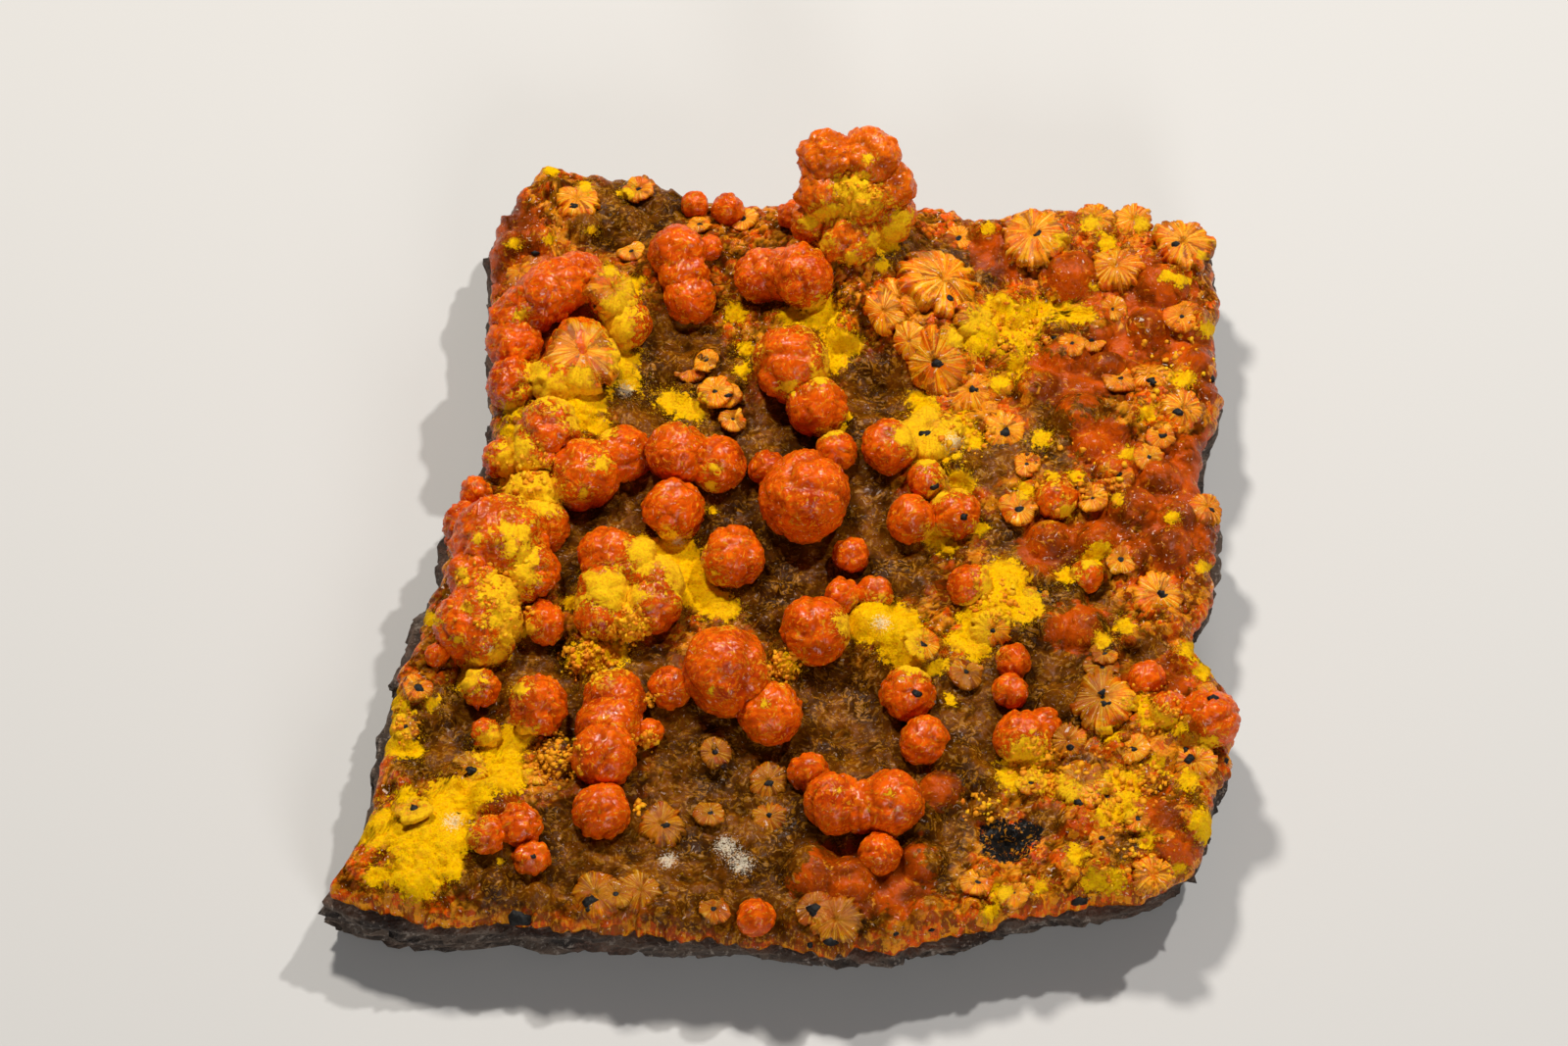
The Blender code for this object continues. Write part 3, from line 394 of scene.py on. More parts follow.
EDGE_ANGLES = np.unwrap(np.arctan2(CRUST_EDGE[:, 1], CRUST_EDGE[:, 0]))


def edge_radius(angle):
    """Distance from the middle to the crust's edge in each direction."""
    turned = (angle - EDGE_ANGLES[0]) % FULL_TURN + EDGE_ANGLES[0]
    first = np.clip(np.searchsorted(EDGE_ANGLES, turned, side="right") - 1, 0, len(CRUST_EDGE) - 1)
    start, end = CRUST_EDGE[first], CRUST_EDGE[(first + 1) % len(CRUST_EDGE)]
    side = end - start
    turn = np.cos(angle) * side[:, 1] - np.sin(angle) * side[:, 0]
    return (start[:, 0] * side[:, 1] - start[:, 1] * side[:, 0]) / turn


def sighted(x, y, z):
    """Points at heights z on the sight lines that meet SIGHT_LEVEL at x, y."""
    share = (z - SIGHT_LEVEL) / (EYE[2] - SIGHT_LEVEL)
    return x + (EYE[0] - x) * share, y + (EYE[1] - y) * share


def seen(points):
    """Where the sight lines through points meet SIGHT_LEVEL."""
    share = (points[:, 2] - SIGHT_LEVEL) / (EYE[2] - SIGHT_LEVEL)
    return ((points[:, 0] - EYE[0] * share) / (1.0 - share),
            (points[:, 1] - EYE[1] * share) / (1.0 - share))


def crust_height(x, y):
    """The crust's height over the floor, without balls and domes."""
    rolling = np.array([noise.noise(Vector((u / 2.3, v / 2.3, 3.7))) for u, v in zip(x, y)])
    height = rolling * 0.22 + CRUST_LEVEL
    for sx, sy, radius, rise in SWELLS:
        px, py = sighted(sx, sy, CRUST_LEVEL + max(rise, 0.0))
        height += rise * np.exp(-2.0 * ((x - px) ** 2 + (y - py) ** 2) / radius ** 2)
    return height


def on_crust(x, y, rise, surface=crust_height):
    """The points that stand rise above a surface on the sight lines through x, y."""
    x, y, rise = (np.atleast_1d(np.asarray(value, dtype=float)) for value in (x, y, rise))
    height = SIGHT_LEVEL + rise
    for _ in range(4):
        height = surface(*sighted(x, y, height)) + rise
    return np.stack([*sighted(x, y, height), height], axis=1)


DOME_TABLE = np.array(DOMES)
DOME_CENTRES = on_crust(DOME_TABLE[:, 0], DOME_TABLE[:, 1], np.full(len(DOMES), DOME_RISE))


def relief(x, y):
    """The crust's height with its low domes."""
    height = crust_height(x, y)
    for (cx, cy, cz), radius in zip(DOME_CENTRES, DOME_TABLE[:, 2]):
        under = radius ** 2 - (x - cx) ** 2 - (y - cy) ** 2
        near = under > 0.0
        height[near] = np.maximum(height[near], cz + np.sqrt(under[near]))
    return height


def edge_inset(x, y):
    """How far places lie inside the crust's edge."""
    return edge_radius(np.arctan2(y, x)) - np.hypot(x, y)


def rounded(height, inset):
    """A height over the floor after the crust has rounded down to its rim."""
    share = np.clip(inset / RIM_WIDTH, 0.0, 1.0)
    return RIM_LOWER_EDGE + (height - RIM_LOWER_EDGE) * np.sqrt(1.0 - (1.0 - share) ** 2)


def rimmed(x, y):
    """The crust's height with its domes and its round rim."""
    return rounded(relief(x, y), edge_inset(x, y))


def slope_normal(points):
    """Upward directions square to the crust at points."""
    x, y, step = points[:, 0], points[:, 1], 0.25
    normal = np.stack([crust_height(x - step, y) - crust_height(x + step, y),
                       crust_height(x, y - step) - crust_height(x, y + step),
                       np.full(len(x), 2.0 * step)], axis=1)
    return normal / np.linalg.norm(normal, axis=1, keepdims=True)


# Meshes

def bent_grid(cells):
    """Ring, angle, faces and map places of a square grid whose square rings become round."""
    line = np.linspace(-1.0, 1.0, cells + 1)
    a, b = (axis.ravel() for axis in np.meshgrid(line, line))
    ring = np.maximum(np.abs(a), np.abs(b))
    safe_a, safe_b = np.where(a == 0.0, 1.0, a), np.where(b == 0.0, 1.0, b)
    angle = np.where(np.abs(a) >= np.abs(b), math.pi / 4 * b / safe_a + np.where(a > 0, 0.0, math.pi),
                     math.pi / 2 - math.pi / 4 * a / safe_b + np.where(b > 0, 0.0, math.pi))
    angle[ring < 1e-9] = 0.0
    corner = (np.arange(cells)[:, None] * (cells + 1) + np.arange(cells)).ravel()
    faces = np.stack([corner, corner + 1, corner + cells + 2, corner + cells + 1], axis=1)
    return ring, angle, faces, np.stack([a, b], axis=1) * 0.5 + 0.5


def ways(ring, angle, reach):
    """Directions from a sphere's middle, from straight up out to reach degrees from it."""
    polar = ring * math.radians(reach)
    return np.stack([np.sin(polar) * np.cos(angle), np.sin(polar) * np.sin(angle), np.cos(polar)], axis=1)


class Shell:
    """Points in millimetres, faces, map places and fields of one or more bent grids."""

    def __init__(self):
        self.points, self.faces, self.maps, self.sizes, self.fields = [], [], [], [], []
        self.count = 0

    def add(self, points, faces, spots, size, **fields):
        used, places = np.unique(faces, return_inverse=True)
        self.points.append(points[used])
        self.faces.append(places.reshape(faces.shape) + self.count)
        self.maps.append(spots[used])
        self.sizes.append(size)
        self.fields.append({name: values[used] for name, values in fields.items()})
        self.count += len(used)

    def tiles(self):
        """Corners of square map tiles, one for each grid, the largest first, and the whole map's side."""
        width = math.sqrt(sum(size ** 2 for size in self.sizes)) * 1.06
        corners, x, y, row = [None] * len(self.sizes), 0.0, 0.0, 0.0
        for index in sorted(range(len(self.sizes)), key=lambda i: -self.sizes[i]):
            size = self.sizes[index]
            if x > 0.0 and x + size > width:
                x, y, row = 0.0, y + row, 0.0
            corners[index] = (x, y)
            x, row = x + size, max(row, size)
        return corners, max(width, y + row, max(self.sizes))

    def build(self, name, material):
        """The piece as an object, with its fields as attributes."""
        corners, whole = self.tiles()
        spots = np.concatenate([(np.array(corner) + size * (0.01 + 0.98 * spot)) / whole
                                for corner, size, spot in zip(corners, self.sizes, self.maps)])
        points, faces = np.concatenate(self.points), np.concatenate(self.faces)
        mesh = bpy.data.meshes.new(name)
        mesh.from_pydata((points * MM).tolist(), [], faces.tolist())
        mesh.shade_smooth()
        layer = mesh.uv_layers.new(name="OFBake")
        layer.data.foreach_set("uv", spots[faces.ravel()].ravel())
        for field in self.fields[0]:
            values = np.concatenate([fields[field] for fields in self.fields])
            kind, key = ("FLOAT", "value") if values.ndim == 1 else ("FLOAT_VECTOR", "vector")
            mesh.attributes.new(field, kind, "POINT").data.foreach_set(key, values.ravel())
        mesh.materials.append(material)
        piece = bpy.data.objects.new(name, mesh)
        bpy.context.scene.collection.objects.link(piece)
        return piece


def patch_field(x, y, patches):
    """From 1 in the middle of a patch, through 0.5 at its radius, to 0 far from all."""
    clear = np.ones(len(x))
    for px, py, radius in patches:
        near = (np.abs(x - px) < 2.6 * radius) & (np.abs(y - py) < 2.6 * radius)
        square = ((x[near] - px) ** 2 + (y[near] - py) ** 2) / radius ** 2
        clear[near] *= 1.0 - np.exp(-0.69 * square)
    return 1.0 - clear


def paint(points, gold, pit):
    """The colour fields of points: one for each kind of patch, gold for blades and pit for painted shade in
    grooves and hollows.
    """
    x, y = seen(points)
    fields = {name: patch_field(x, y, patches) for name, patches in PATCHES.items()}
    return {**fields, "gold": gold, "pit": pit}


# Centre and radius of each ball, those of the tall cluster last
BALL_TABLE = np.array(
    [(*on_crust(x, y, rise)[0], radius) for x, y, radius, rise in GREAT_BALLS + BRIDGES + SMALL_BALLS]
    + [(*sighted(x, y, height), height, radius) for x, y, radius, height in TOWER_BALLS]
)
FIRST_TOWER_BALL = len(BALL_TABLE) - len(TOWER_BALLS)


def add_sheet(left, right):
    """The crust without its balls: a grid bent to its outline, in two halves."""
    ring, angle, faces, spots = bent_grid(SHEET_CELLS)
    inner = np.minimum(ring / (1.0 - SKIRT_SHARE), 1.0)
    skirt = np.clip((ring - (1.0 - SKIRT_SHARE)) / SKIRT_SHARE, 0.0, 1.0)
    spread = 1.0 - (1.0 - inner) ** 1.2
    reach = edge_radius(angle)
    away = np.stack([np.cos(angle), np.sin(angle)], axis=1)
    rim = np.concatenate([away * reach[:, None], np.zeros((len(ring), 1))], axis=1)
    ragged = 0.16 * value_noise(rim / 0.8, 11) + 0.09 * value_noise(rim / 0.3, 12)
    flat = away * (spread * reach + ragged * spread ** 6)[:, None]
    x, y = flat.T
    level = relief(x, y)
    sight = seen(np.stack([x, y, level], axis=1))
    silky = smooth(patch_field(*sight, BROWN), 0.3, 0.8)
    rough = (1.0 - 0.55 * silky) * (1.0 - 0.6 * smooth(patch_field(*sight, RUSSET), 0.4, 0.8))
    place = np.stack([x, y, np.zeros(len(x))], axis=1)
    near, second, offset, own = grains(place / 0.42, 21)
    gap = 1.0 - smooth(second - near, 0.0, 0.3)
    lumps = np.sqrt(np.maximum(0.0, 1.0 - (grains(place / 1.15, 31)[0] / 0.62) ** 2))
    fine = 0.08 * value_noise(place / 0.34, 2) + 0.34 * plates(offset, own, 2) - 0.08 * gap
    fine = (fine + 0.22 * lumps * smooth(x, 5.0, 11.0)) * rough
    waves = 0.12 * value_noise(place / np.array([0.9, 0.5, 1.0]), 3) * silky
    waves += 0.10 * value_noise(place / 0.9, 1)
    # pit is painted shade: darker in the low places and cell borders of the relief, and round the feet of the
    # balls
    pit = np.clip(smooth(fine + 0.5 * waves, 0.04, -0.16) + 0.35 * gap * rough, 0.0, 1.0)
    ball_foot_shade = np.zeros(len(x))
    for cx, cy, _, radius in BALL_TABLE[:FIRST_TOWER_BALL]:
        ball_foot_shade = np.maximum(ball_foot_shade, 1.0 - smooth(np.hypot(x - cx, y - cy) - radius, 0.0, 1.05))
    pit = np.maximum(pit, 0.88 * ball_foot_shade * (0.75 + 0.45 * value_noise(place / 0.6, 14)))
    inset = (1.0 - spread) * reach
    height = rounded(level + fine + waves, inset) - skirt * SKIRT_DROP
    columns = 0.16 * value_noise(rim / 0.26, 13) * smooth(spread, 0.95, 1.0)
    flat += away * (columns - 0.4 * skirt ** 2)[:, None]
    points = np.concatenate([flat, height[:, None]], axis=1)
    fields = paint(points, smooth(inset, 1.0, 0.2), pit * smooth(inset, 0.0, 0.6))
    on_left = x[faces[:, 0]] < 0.0
    left.add(points, faces[on_left], spots, SLAB_MAP, **fields)
    right.add(points, faces[~on_left], spots, SLAB_MAP, **fields)


def shown(points, faces, skip=-1, depth=0.35):
    """The faces that aren't well inside a ball other than skip, or deeper than that under the crust."""
    lost = points[:, 2] < np.maximum(rimmed(points[:, 0], points[:, 1]) - depth, 2.9)
    for index, (*centre, radius) in enumerate(BALL_TABLE):
        if index != skip and depth < 1.0:
            lost |= np.linalg.norm(points - centre, axis=1) < radius - 0.2
    return faces[~lost[faces].all(axis=1)]


def add_ball(shell, index):
    """A ball of fine blades whose ends stand out as small tilted plates."""
    centre, radius = BALL_TABLE[index, :3], BALL_TABLE[index, 3]
    in_tower = index >= FIRST_TOWER_BALL
    flaky = in_tower or centre[0] < -9.5
    bulge, ripple, plate, scale = (0.11, 0.06, 0.24, 2.3) if flaky else (0.05, 0.03, 0.15, 1.6)
    ring, angle, faces, spots = bent_grid(2 * round(BALL_CELLS_PER_MM * max(radius, 0.6) / 2))
    way = ways(ring, angle, BALL_REACH) @ np.array(Matrix.Rotation(BALL_TILT, 3, "X")).T
    own = way * radius
    folds = np.abs(value_noise(way * 1.25 + index * 4.9, 44))
    near, second, offset, number = grains(own / 0.34 + index * 5.3, 43)
    rise = bulge * radius * value_noise(way * scale + index * 7.7, 41)
    rise += ripple * value_noise(own / 0.5 + index * 3.1, 42)
    rise += 0.085 * radius * (np.minimum(folds * 3.2, 1.0) - 1.0)
    rise += plate * plates(offset, number) - 0.03 * (1.0 - smooth(second - near, 0.0, 0.25))
    points = centre + way * (radius + rise + 0.03)[:, None]
    # pit is painted shade in the folds and along the borders of the plates
    pit = np.clip(0.7 * smooth(folds, 0.22, 0.0) + 0.5 * smooth(second - near, 0.22, 0.0), 0.0, 1.0)
    fields = paint(points, np.full(len(points), 0.5 if in_tower else 0.0), pit)
    shell.add(points, shown(points, faces, index), spots, radius, **fields)


def add_rosette(shell, centre, up, radius, flatness, cells, seed, heart, blades, cut=0.35):
    """A flat head of radiating blades, each tilted its own way, with a pit at its heart."""
    ring, angle, faces, spots = bent_grid(cells)
    number = np.full(len(ring), seed * 1.0)
    turned = np.stack([np.cos(angle), np.sin(angle), number], axis=1)
    warp = 0.9 * value_noise(turned * np.array([2.2, 2.2, 1.0]) + 1.4 * ring[:, None], 50)
    turn = (angle / FULL_TURN + 1.0) * blades + warp
    blade = np.floor(turn).astype(np.int64) % blades
    across = turn - np.floor(turn) - 0.5
    rise, tilt, reach = (lattice(blade, seed, part, 51) - 0.5 for part in (1, 2, 3))
    fan = value_noise(turned * np.array([1.1, 1.1, 1.0]) + 0.6 * ring[:, None], 53)
    polar = ring * math.radians(ROSETTE_REACH)
    out, upper = np.sin(polar), polar < 1.6
    wide = radius * out * (1.0 + 0.32 * reach * ring + 0.30 * fan * ring)
    height = flatness * np.sign(np.cos(polar)) * np.abs(np.cos(polar)) ** 0.6
    height += (0.06 * rise + 0.10 * tilt * across + 0.20 * fan) * smooth(ring, 0.04, 0.5) * out
    height -= 0.17 * np.exp(-(out / heart) ** 2) * upper
    side = np.cross(up, (0.31, 0.95, 0.05))
    side /= np.linalg.norm(side)
    flat = np.stack([wide * np.cos(angle), wide * np.sin(angle), radius * height], axis=1)
    points = centre + flat @ np.stack([side, np.cross(up, side), up])
    kept = shown(points, faces, depth=cut)
    if not len(kept):
        return
    gold = 0.55 + rise - 0.4 * smooth(out, 0.75, 1.0) * upper
    # pit is painted shade: in the grooves between blades, and on the underside below the rim
    groove_shade = smooth(np.abs(across), 0.38, 0.5) * smooth(out, 0.2, 0.7) * lattice(blade, seed, 4, 51)
    fields = paint(points, np.clip(gold, 0.0, 1.0), np.maximum(0.45 * groove_shade, smooth(polar, 1.5, 1.9)))
    fields["brown"] *= 0.15 + 0.85 * smooth(centre[1], 2.0, -9.0)
    fields["grain"] = turned * (1.6, 1.6, 1.0) + (ring * radius)[:, None] * (0.0, 0.0, 0.5)
    shell.add(points, kept, spots, radius, **fields)


def add_rosettes(shell):
    """The large rosettes: the largest stand out most, and those at the front rim are sunk."""
    x, y, radius = np.array(ROSETTES).T
    centres = on_crust(x, y, np.where(radius > 1.1, 0.1, -0.06) - np.where(y < -17.0, 0.25, 0.0))
    for index, (centre, up) in enumerate(zip(centres, slope_normal(centres))):
        lean = 0.25 * value_noise(np.array([(index * 3.7, axis, 0.5) for axis in (0.2, 5.2, 9.2)]), 61)
        up = up + lean + (0.0, -0.12, 0.0)
        up /= np.linalg.norm(up)
        add_rosette(shell, centre, up, radius[index], 0.40, ROSETTE_CELLS, index, 0.12, 37)


def add_fans(shell):
    """Fans of blades, none of which is cut away under the crust."""
    for index, (x, y, radius, rise) in enumerate(FANS):
        centre = on_crust(x, y, rise)
        up = slope_normal(centre)[0] + (0.0, -0.25, 0.25)
        up /= np.linalg.norm(up)
        add_rosette(shell, centre[0], up, radius, 0.5, ROSETTE_CELLS, 60 + index, 0.1, 21, 9.0)


def add_flowers(shell):
    """A small rosette round each black grain that has no larger one and isn't on the rim."""
    large_x, large_y, large_radius = np.array(ROSETTES).T
    for index, (x, y, size) in enumerate(BLACK_GRAINS):
        centre = on_crust(x, y, 0.0, rimmed)
        inset = edge_inset(centre[:, 0], centre[:, 1])[0]
        in_large = (np.hypot(large_x - x, large_y - y) < 0.7 * large_radius).any()
        if size <= 0.3 and inset >= 0.35 and not in_large:
            radius = min(0.42 + 1.2 * min(size, 0.2) + 0.22 * lattice(index, 3, 5, 71), inset + 0.2)
            up = slope_normal(centre)[0]
            add_rosette(shell, centre[0], up, radius, 0.24, FLOWER_CELLS, 100 + index, 0.22, 11)


def surface_tree(shells):
    """All the surfaces of some shells as one tree for sight lines."""
    points, faces, count = [], [], 0
    for shell in shells:
        points += shell.points
        faces += [part + count for part in shell.faces]
        count += shell.count
    return BVHTree.FromPolygons(np.concatenate(points).tolist(), np.concatenate(faces).tolist())


def first_hit(tree, x, y):
    """Where a sight line first meets the crust and the way out of it there, or None twice."""
    eye = Vector(EYE)
    return tree.ray_cast(eye, (Vector((x, y, SIGHT_LEVEL)) - eye).normalized())[:2]


def add_pebble(shell, cells, reach, centre, stretch, bumps, size, **fields):
    """A small lump. bumps is the scale, shift and seed of the noise that makes it uneven."""
    ring, angle, faces, spots = bent_grid(cells)
    way = ways(ring, angle, reach)
    scale, shift, seed = bumps
    points = np.array(centre) + way * stretch * (1.0 + 0.45 * value_noise(way * scale + shift, seed))[:, None]
    fields = {name: np.full(len(points), value) for name, value in fields.items()}
    shell.add(points, faces, spots, size, **fields)


def add_grains(shell, tree):
    """Black grains, half sunk where sight lines first meet the crust."""
    for index, (x, y, size) in enumerate(BLACK_GRAINS):
        place, normal = first_hit(tree, x, y)
        if place is not None:
            stretch = np.array([1.0 + 0.5 * lattice(index, 1, 1, 82), 1.0, 0.8]) * size * 1.2
            centre = np.array(place) - np.array(normal) * size * 0.5
            add_pebble(shell, GRAIN_CELLS, 150, centre, stretch, (1.7, index * 2.3, 81), size)


def add_sugar(shell, tree):
    """Heaps of small orange and yellow grains on the crust."""
    for heap, (x, y, spread, count) in enumerate(HEAPS):
        for index in range(count):
            turn, far, vary, bulk, tint = (lattice(index, heap, part, 83) for part in (1, 2, 3, 4, 5))
            turn *= FULL_TURN
            out = spread * math.sqrt(far) * (0.6 + 0.6 * vary)
            size = 0.06 + 0.10 * bulk ** 2
            place, _ = first_hit(tree, x + out * math.cos(turn), y + out * math.sin(turn))
            if place is not None:
                shape = np.array([lattice(index, heap, part, 85) for part in (1, 2, 3)]) * 0.9 + 0.55
                bumps = (1.9, index * 1.3 + heap * 7.1, 84)
                add_pebble(shell, SUGAR_CELLS, 140, place, shape * size, bumps, size, tint=tint)


def bearing(angle, middle):
    """Angles measured from a middle direction, from minus half a turn to half a turn."""
    return np.remainder(angle - middle + math.pi, FULL_TURN) - math.pi


def rock_reach(angle, height):
    """The slab's side: a ragged broken edge, drawn in towards the floor, least at its sharp corner."""
    share = np.clip(height / ROCK_TOP, 0.0, 1.0)
    corner, ledge = bearing(angle, ROCK_CORNER), bearing(angle, LEDGE_SIDE)
    undercut = ROCK_UNDERCUT * (1.0 - 0.45 * np.exp(-2.0 * (corner / 0.8) ** 2)) * (1.0 - share) ** 1.3
    chamfer = FLOOR_CHAMFER * np.maximum(0.0, 1.0 - height / CHAMFER_HEIGHT)
    where = np.stack([3.1 * np.cos(angle), 3.1 * np.sin(angle), 0.9 * share], axis=1)
    ragged = np.array([0.30 * noise.noise(Vector(w * 1.7)) + 0.24 * noise.noise(Vector(w * 5.3))
                       for w in where])
    return (edge_radius(angle) + ROCK_LIP + LEDGE * np.exp(-2.0 * (ledge / 1.2) ** 2) - undercut - chamfer
            + (1.2 - 0.5 * share) * ragged)


def add_rock(shell):
    """The slab: its underside from the middle out, its broken side, and its top under the crust's edge."""
    ring, angle, faces, spots = bent_grid(ROCK_CELLS)
    under, side, top = (np.clip((ring - low) / (high - low), 0.0, 1.0)
                        for low, high in ((0.0, 0.45), (0.45, 0.85), (0.85, 1.0)))
    height = side * ROCK_TOP
    away = np.stack([np.cos(angle), np.sin(angle)], axis=1)
    reach = rock_reach(angle, height) * (under * (1.0 - 0.35 * top))
    place = np.concatenate([away * reach[:, None], height[:, None]], axis=1)
    beds = value_noise(place / np.array([2.6, 2.6, 0.3]), 91)
    _, _, offset, own = grains(place / np.array([1.3, 1.3, 0.55]), 92)
    fine = value_noise(place / 0.28, 93)
    on_side = smooth(side, 0.0, 0.08) * (1.0 - smooth(top, 0.5, 1.0))
    push = on_side * (0.22 * beds + 0.46 * (own - 0.5) + 0.16 * offset[:, 2] + 0.09 * fine - 0.08)
    place[:, :2] += away * push[:, None]
    hollow = 0.5 * value_noise(place / 3.1, 94) + 0.25 * value_noise(place / 0.9, 95) + 0.05
    hollow = np.maximum(0.0, hollow) + 0.10 * (own - 0.3) + 0.05 * fine
    place[:, 2] += np.maximum(hollow, 0.0) * (1.0 - smooth(side, 0.0, 0.15)) * 0.55
    place[:, 2] += on_side * 0.05 * value_noise(place / 0.5, 96) * smooth(side, 0.1, 0.3)
    place[:, 2] = np.maximum(place[:, 2] - smooth(top, 0.0, 0.6) * 0.02, 0.0)
    rusty = np.clip(0.5 + value_noise(place / 1.7, 97), 0.0, 1.0)
    shell.add(place, faces[:, ::-1], spots, SLAB_MAP, rusty=rusty)


# Materials

class Nodes:
    """Builds a material's nodes by short calls. An input takes a value or another node's output."""

    def __init__(self, name):
        self.material = bpy.data.materials.new(name)
        self.material.use_nodes = True
        self.tree = self.material.node_tree
        self.place = self.scaled(self.add("TexCoord", output="Object"), 1.0 / MM)

    def feed(self, socket, value):
        if isinstance(value, bpy.types.NodeSocket):
            self.tree.links.new(value, socket)
        else:
            socket.default_value = value

    def add(self, kind, inputs=None, output=0, **settings):
        node = self.tree.nodes.new("ShaderNode" + kind)
        for key, value in settings.items():
            setattr(node, key, value)
        for key, value in (inputs or {}).items():
            self.feed(node.inputs[key], value)
        return node.outputs[output]

    def shade(self, inputs):
        """The finished material, with these inputs of its shader."""
        shader = self.tree.nodes["Principled BSDF"]
        for key, value in inputs.items():
            self.feed(shader.inputs[key], value)
        return self.material

    def scaled(self, vector, factor):
        return self.add("VectorMath", {0: vector, "Scale": factor}, operation="SCALE")

    def vector(self, operation, a, b):
        return self.add("VectorMath", {0: a, 1: b}, operation=operation)

    def math(self, operation, a, b):
        return self.add("Math", {0: a, 1: b}, operation=operation)

    def times(self, a, b):
        return self.math("MULTIPLY", a, b)

    def noise(self, vector, scale, detail=3.0, roughness=0.55, output="Fac"):
        inputs = {"Vector": vector, "Scale": scale, "Detail": detail, "Roughness": roughness}
        return self.add("TexNoise", inputs, output=output)

    def streaks(self, vector, stretch, detail=3.0, roughness=0.62):
        return self.noise(self.vector("MULTIPLY", vector, stretch), 1.0, detail, roughness)

    def cells(self, vector, scale):
        return self.add("TexVoronoi", {"Vector": vector, "Scale": scale}, output="Color")

    def blades(self, vector, stretch):
        return self.cells(self.vector("MULTIPLY", vector, stretch), 1.0)

    def field(self, name, output="Fac"):
        return self.add("Attribute", output=output, attribute_name=name)

    def step(self, value, low, high, start=0.0, end=1.0):
        ends = {"From Min": low, "From Max": high, "To Min": start, "To Max": end}
        return self.add("MapRange", {"Value": value, **ends}, interpolation_type="SMOOTHSTEP")

    def blend(self, factor, a, b):
        return self.add("Mix", {0: factor, 2: a, 3: b}, output=0, data_type="FLOAT")

    def mix(self, factor, a, b):
        a, b = ((*colour, 1.0) if isinstance(colour, tuple) else colour for colour in (a, b))
        return self.add("Mix", {0: factor, 6: a, 7: b}, output=2, data_type="RGBA")

    def layers(self, colour, *rows):
        """A colour under others: each row has one, its field, and the numbers of the field's step."""
        for over, field, *numbers in rows:
            colour = self.mix(self.step(field, *numbers), colour, over)
        return colour

    def broken(self, field, grain, spread, low, high):
        """A field's edge, broken up by a noise."""
        moved = self.add("Math", {0: grain, 1: spread, 2: field}, operation="MULTIPLY_ADD")
        return self.step(moved, low + 0.5 * spread, high + 0.5 * spread)

    def bump(self, height, depth, cells, tilt):
        """A normal tilted another way on each of some cells, with a fine height over it."""
        way = self.scaled(self.vector("ADD", cells, (-0.5, -0.5, -0.5)), tilt)
        way = self.vector("ADD", self.add("NewGeometry", output="Normal"), way)
        way = self.add("VectorMath", {0: way}, operation="NORMALIZE")
        return self.add("Bump", {"Height": height, "Distance": depth * MM, "Strength": 1.0, "Normal": way})


DEEP_ORANGE = (0.46, 0.034, 0.0005)
ORANGE = (0.84, 0.104, 0.0008)
LIGHT_ORANGE = (0.94, 0.20, 0.003)
GOLD = (0.84, 0.34, 0.010)
PALE_GOLD = (0.96, 0.66, 0.14)
BLADE_ORANGE = (0.88, 0.17, 0.001)
BLADE_GOLD = (0.98, 0.47, 0.005)
AMBER_BROWN = (0.20, 0.054, 0.0012)
DARK_BROWN = (0.046, 0.014, 0.0008)
SILKY_BROWN = (0.40, 0.155, 0.004)
PAINTED_SHEEN_GOLD = (0.56, 0.33, 0.12)
DARK_RUSSET = (0.19, 0.028, 0.0008)
LIGHT_RUSSET = (0.60, 0.082, 0.0010)
# Painted shade colours for grooves, hollows and undersides
BALL_GROOVE_SHADE = (0.25, 0.024, 0.0004)
GROUND_GROOVE_SHADE = (0.026, 0.007, 0.0004)
YELLOW = (0.94, 0.545, 0.0012)
OCHRE = (0.78, 0.28, 0.002)
SUGAR_ORANGE = (0.80, 0.20, 0.003)
SUGAR_GOLD = (0.90, 0.36, 0.003)
CREAM = (0.80, 0.70, 0.52)
GLINT = (0.95, 0.74, 0.56)
BLACK = (0.010, 0.009, 0.008)
DARK_ROCK = (0.045, 0.031, 0.024)
BROWN_ROCK = (0.190, 0.130, 0.092)
PALE_ROCK = (0.36, 0.29, 0.235)
RUST = (0.13, 0.045, 0.018)


class Crystals:
    """The patterns of one of the crust's three looks: ball, sheet or rosette."""

    def __init__(self, nodes, kind):
        self.ball, self.rosette = kind == "ball", kind == "rosette"
        place = nodes.place
        warp = nodes.scaled(nodes.noise(place, 1.8, 2.0, output="Color"), 0.6)
        warped = nodes.vector("ADD", place, warp)
        cell = nodes.cells(warped, 1.5 if self.ball else 2.0)
        self.tone = nodes.add("SeparateXYZ", {0: cell}, output=1)
        self.turned = nodes.add("VectorRotate", {"Vector": warped, "Rotation": nodes.scaled(cell, 6.3)},
                                rotation_type="EULER_XYZ")
        self.strokes = nodes.streaks(self.turned, (8.0, 8.0, 1.5) if self.ball else (5.2, 5.2, 1.0))
        if self.rosette:
            lines = nodes.field("grain", "Vector")
            self.strokes = nodes.blend(0.75, self.strokes, nodes.streaks(lines, (7.5, 7.5, 1.2), 4.0))
            blades = self.facets = nodes.blades(lines, (6.0, 6.0, 1.6))
        else:
            blades = nodes.blades(self.turned, (8.0, 8.0, 1.6))
            self.facets = nodes.blades(self.turned, (4.4, 4.4, 1.5))
        if kind == "sheet":
            columns = nodes.streaks(place, (6.0, 6.0, 0.7), 4.0)
            self.strokes = nodes.blend(nodes.field("gold"), self.strokes, columns)
        self.blade_tone = nodes.add("SeparateXYZ", {0: blades}, output=2)
        self.cloud = nodes.noise(place, 0.6, 4.0)
        self.speckle = nodes.noise(place, 2.6, 6.0, 0.72)
        self.dust = nodes.noise(place, 11.0, 4.0, 0.65)


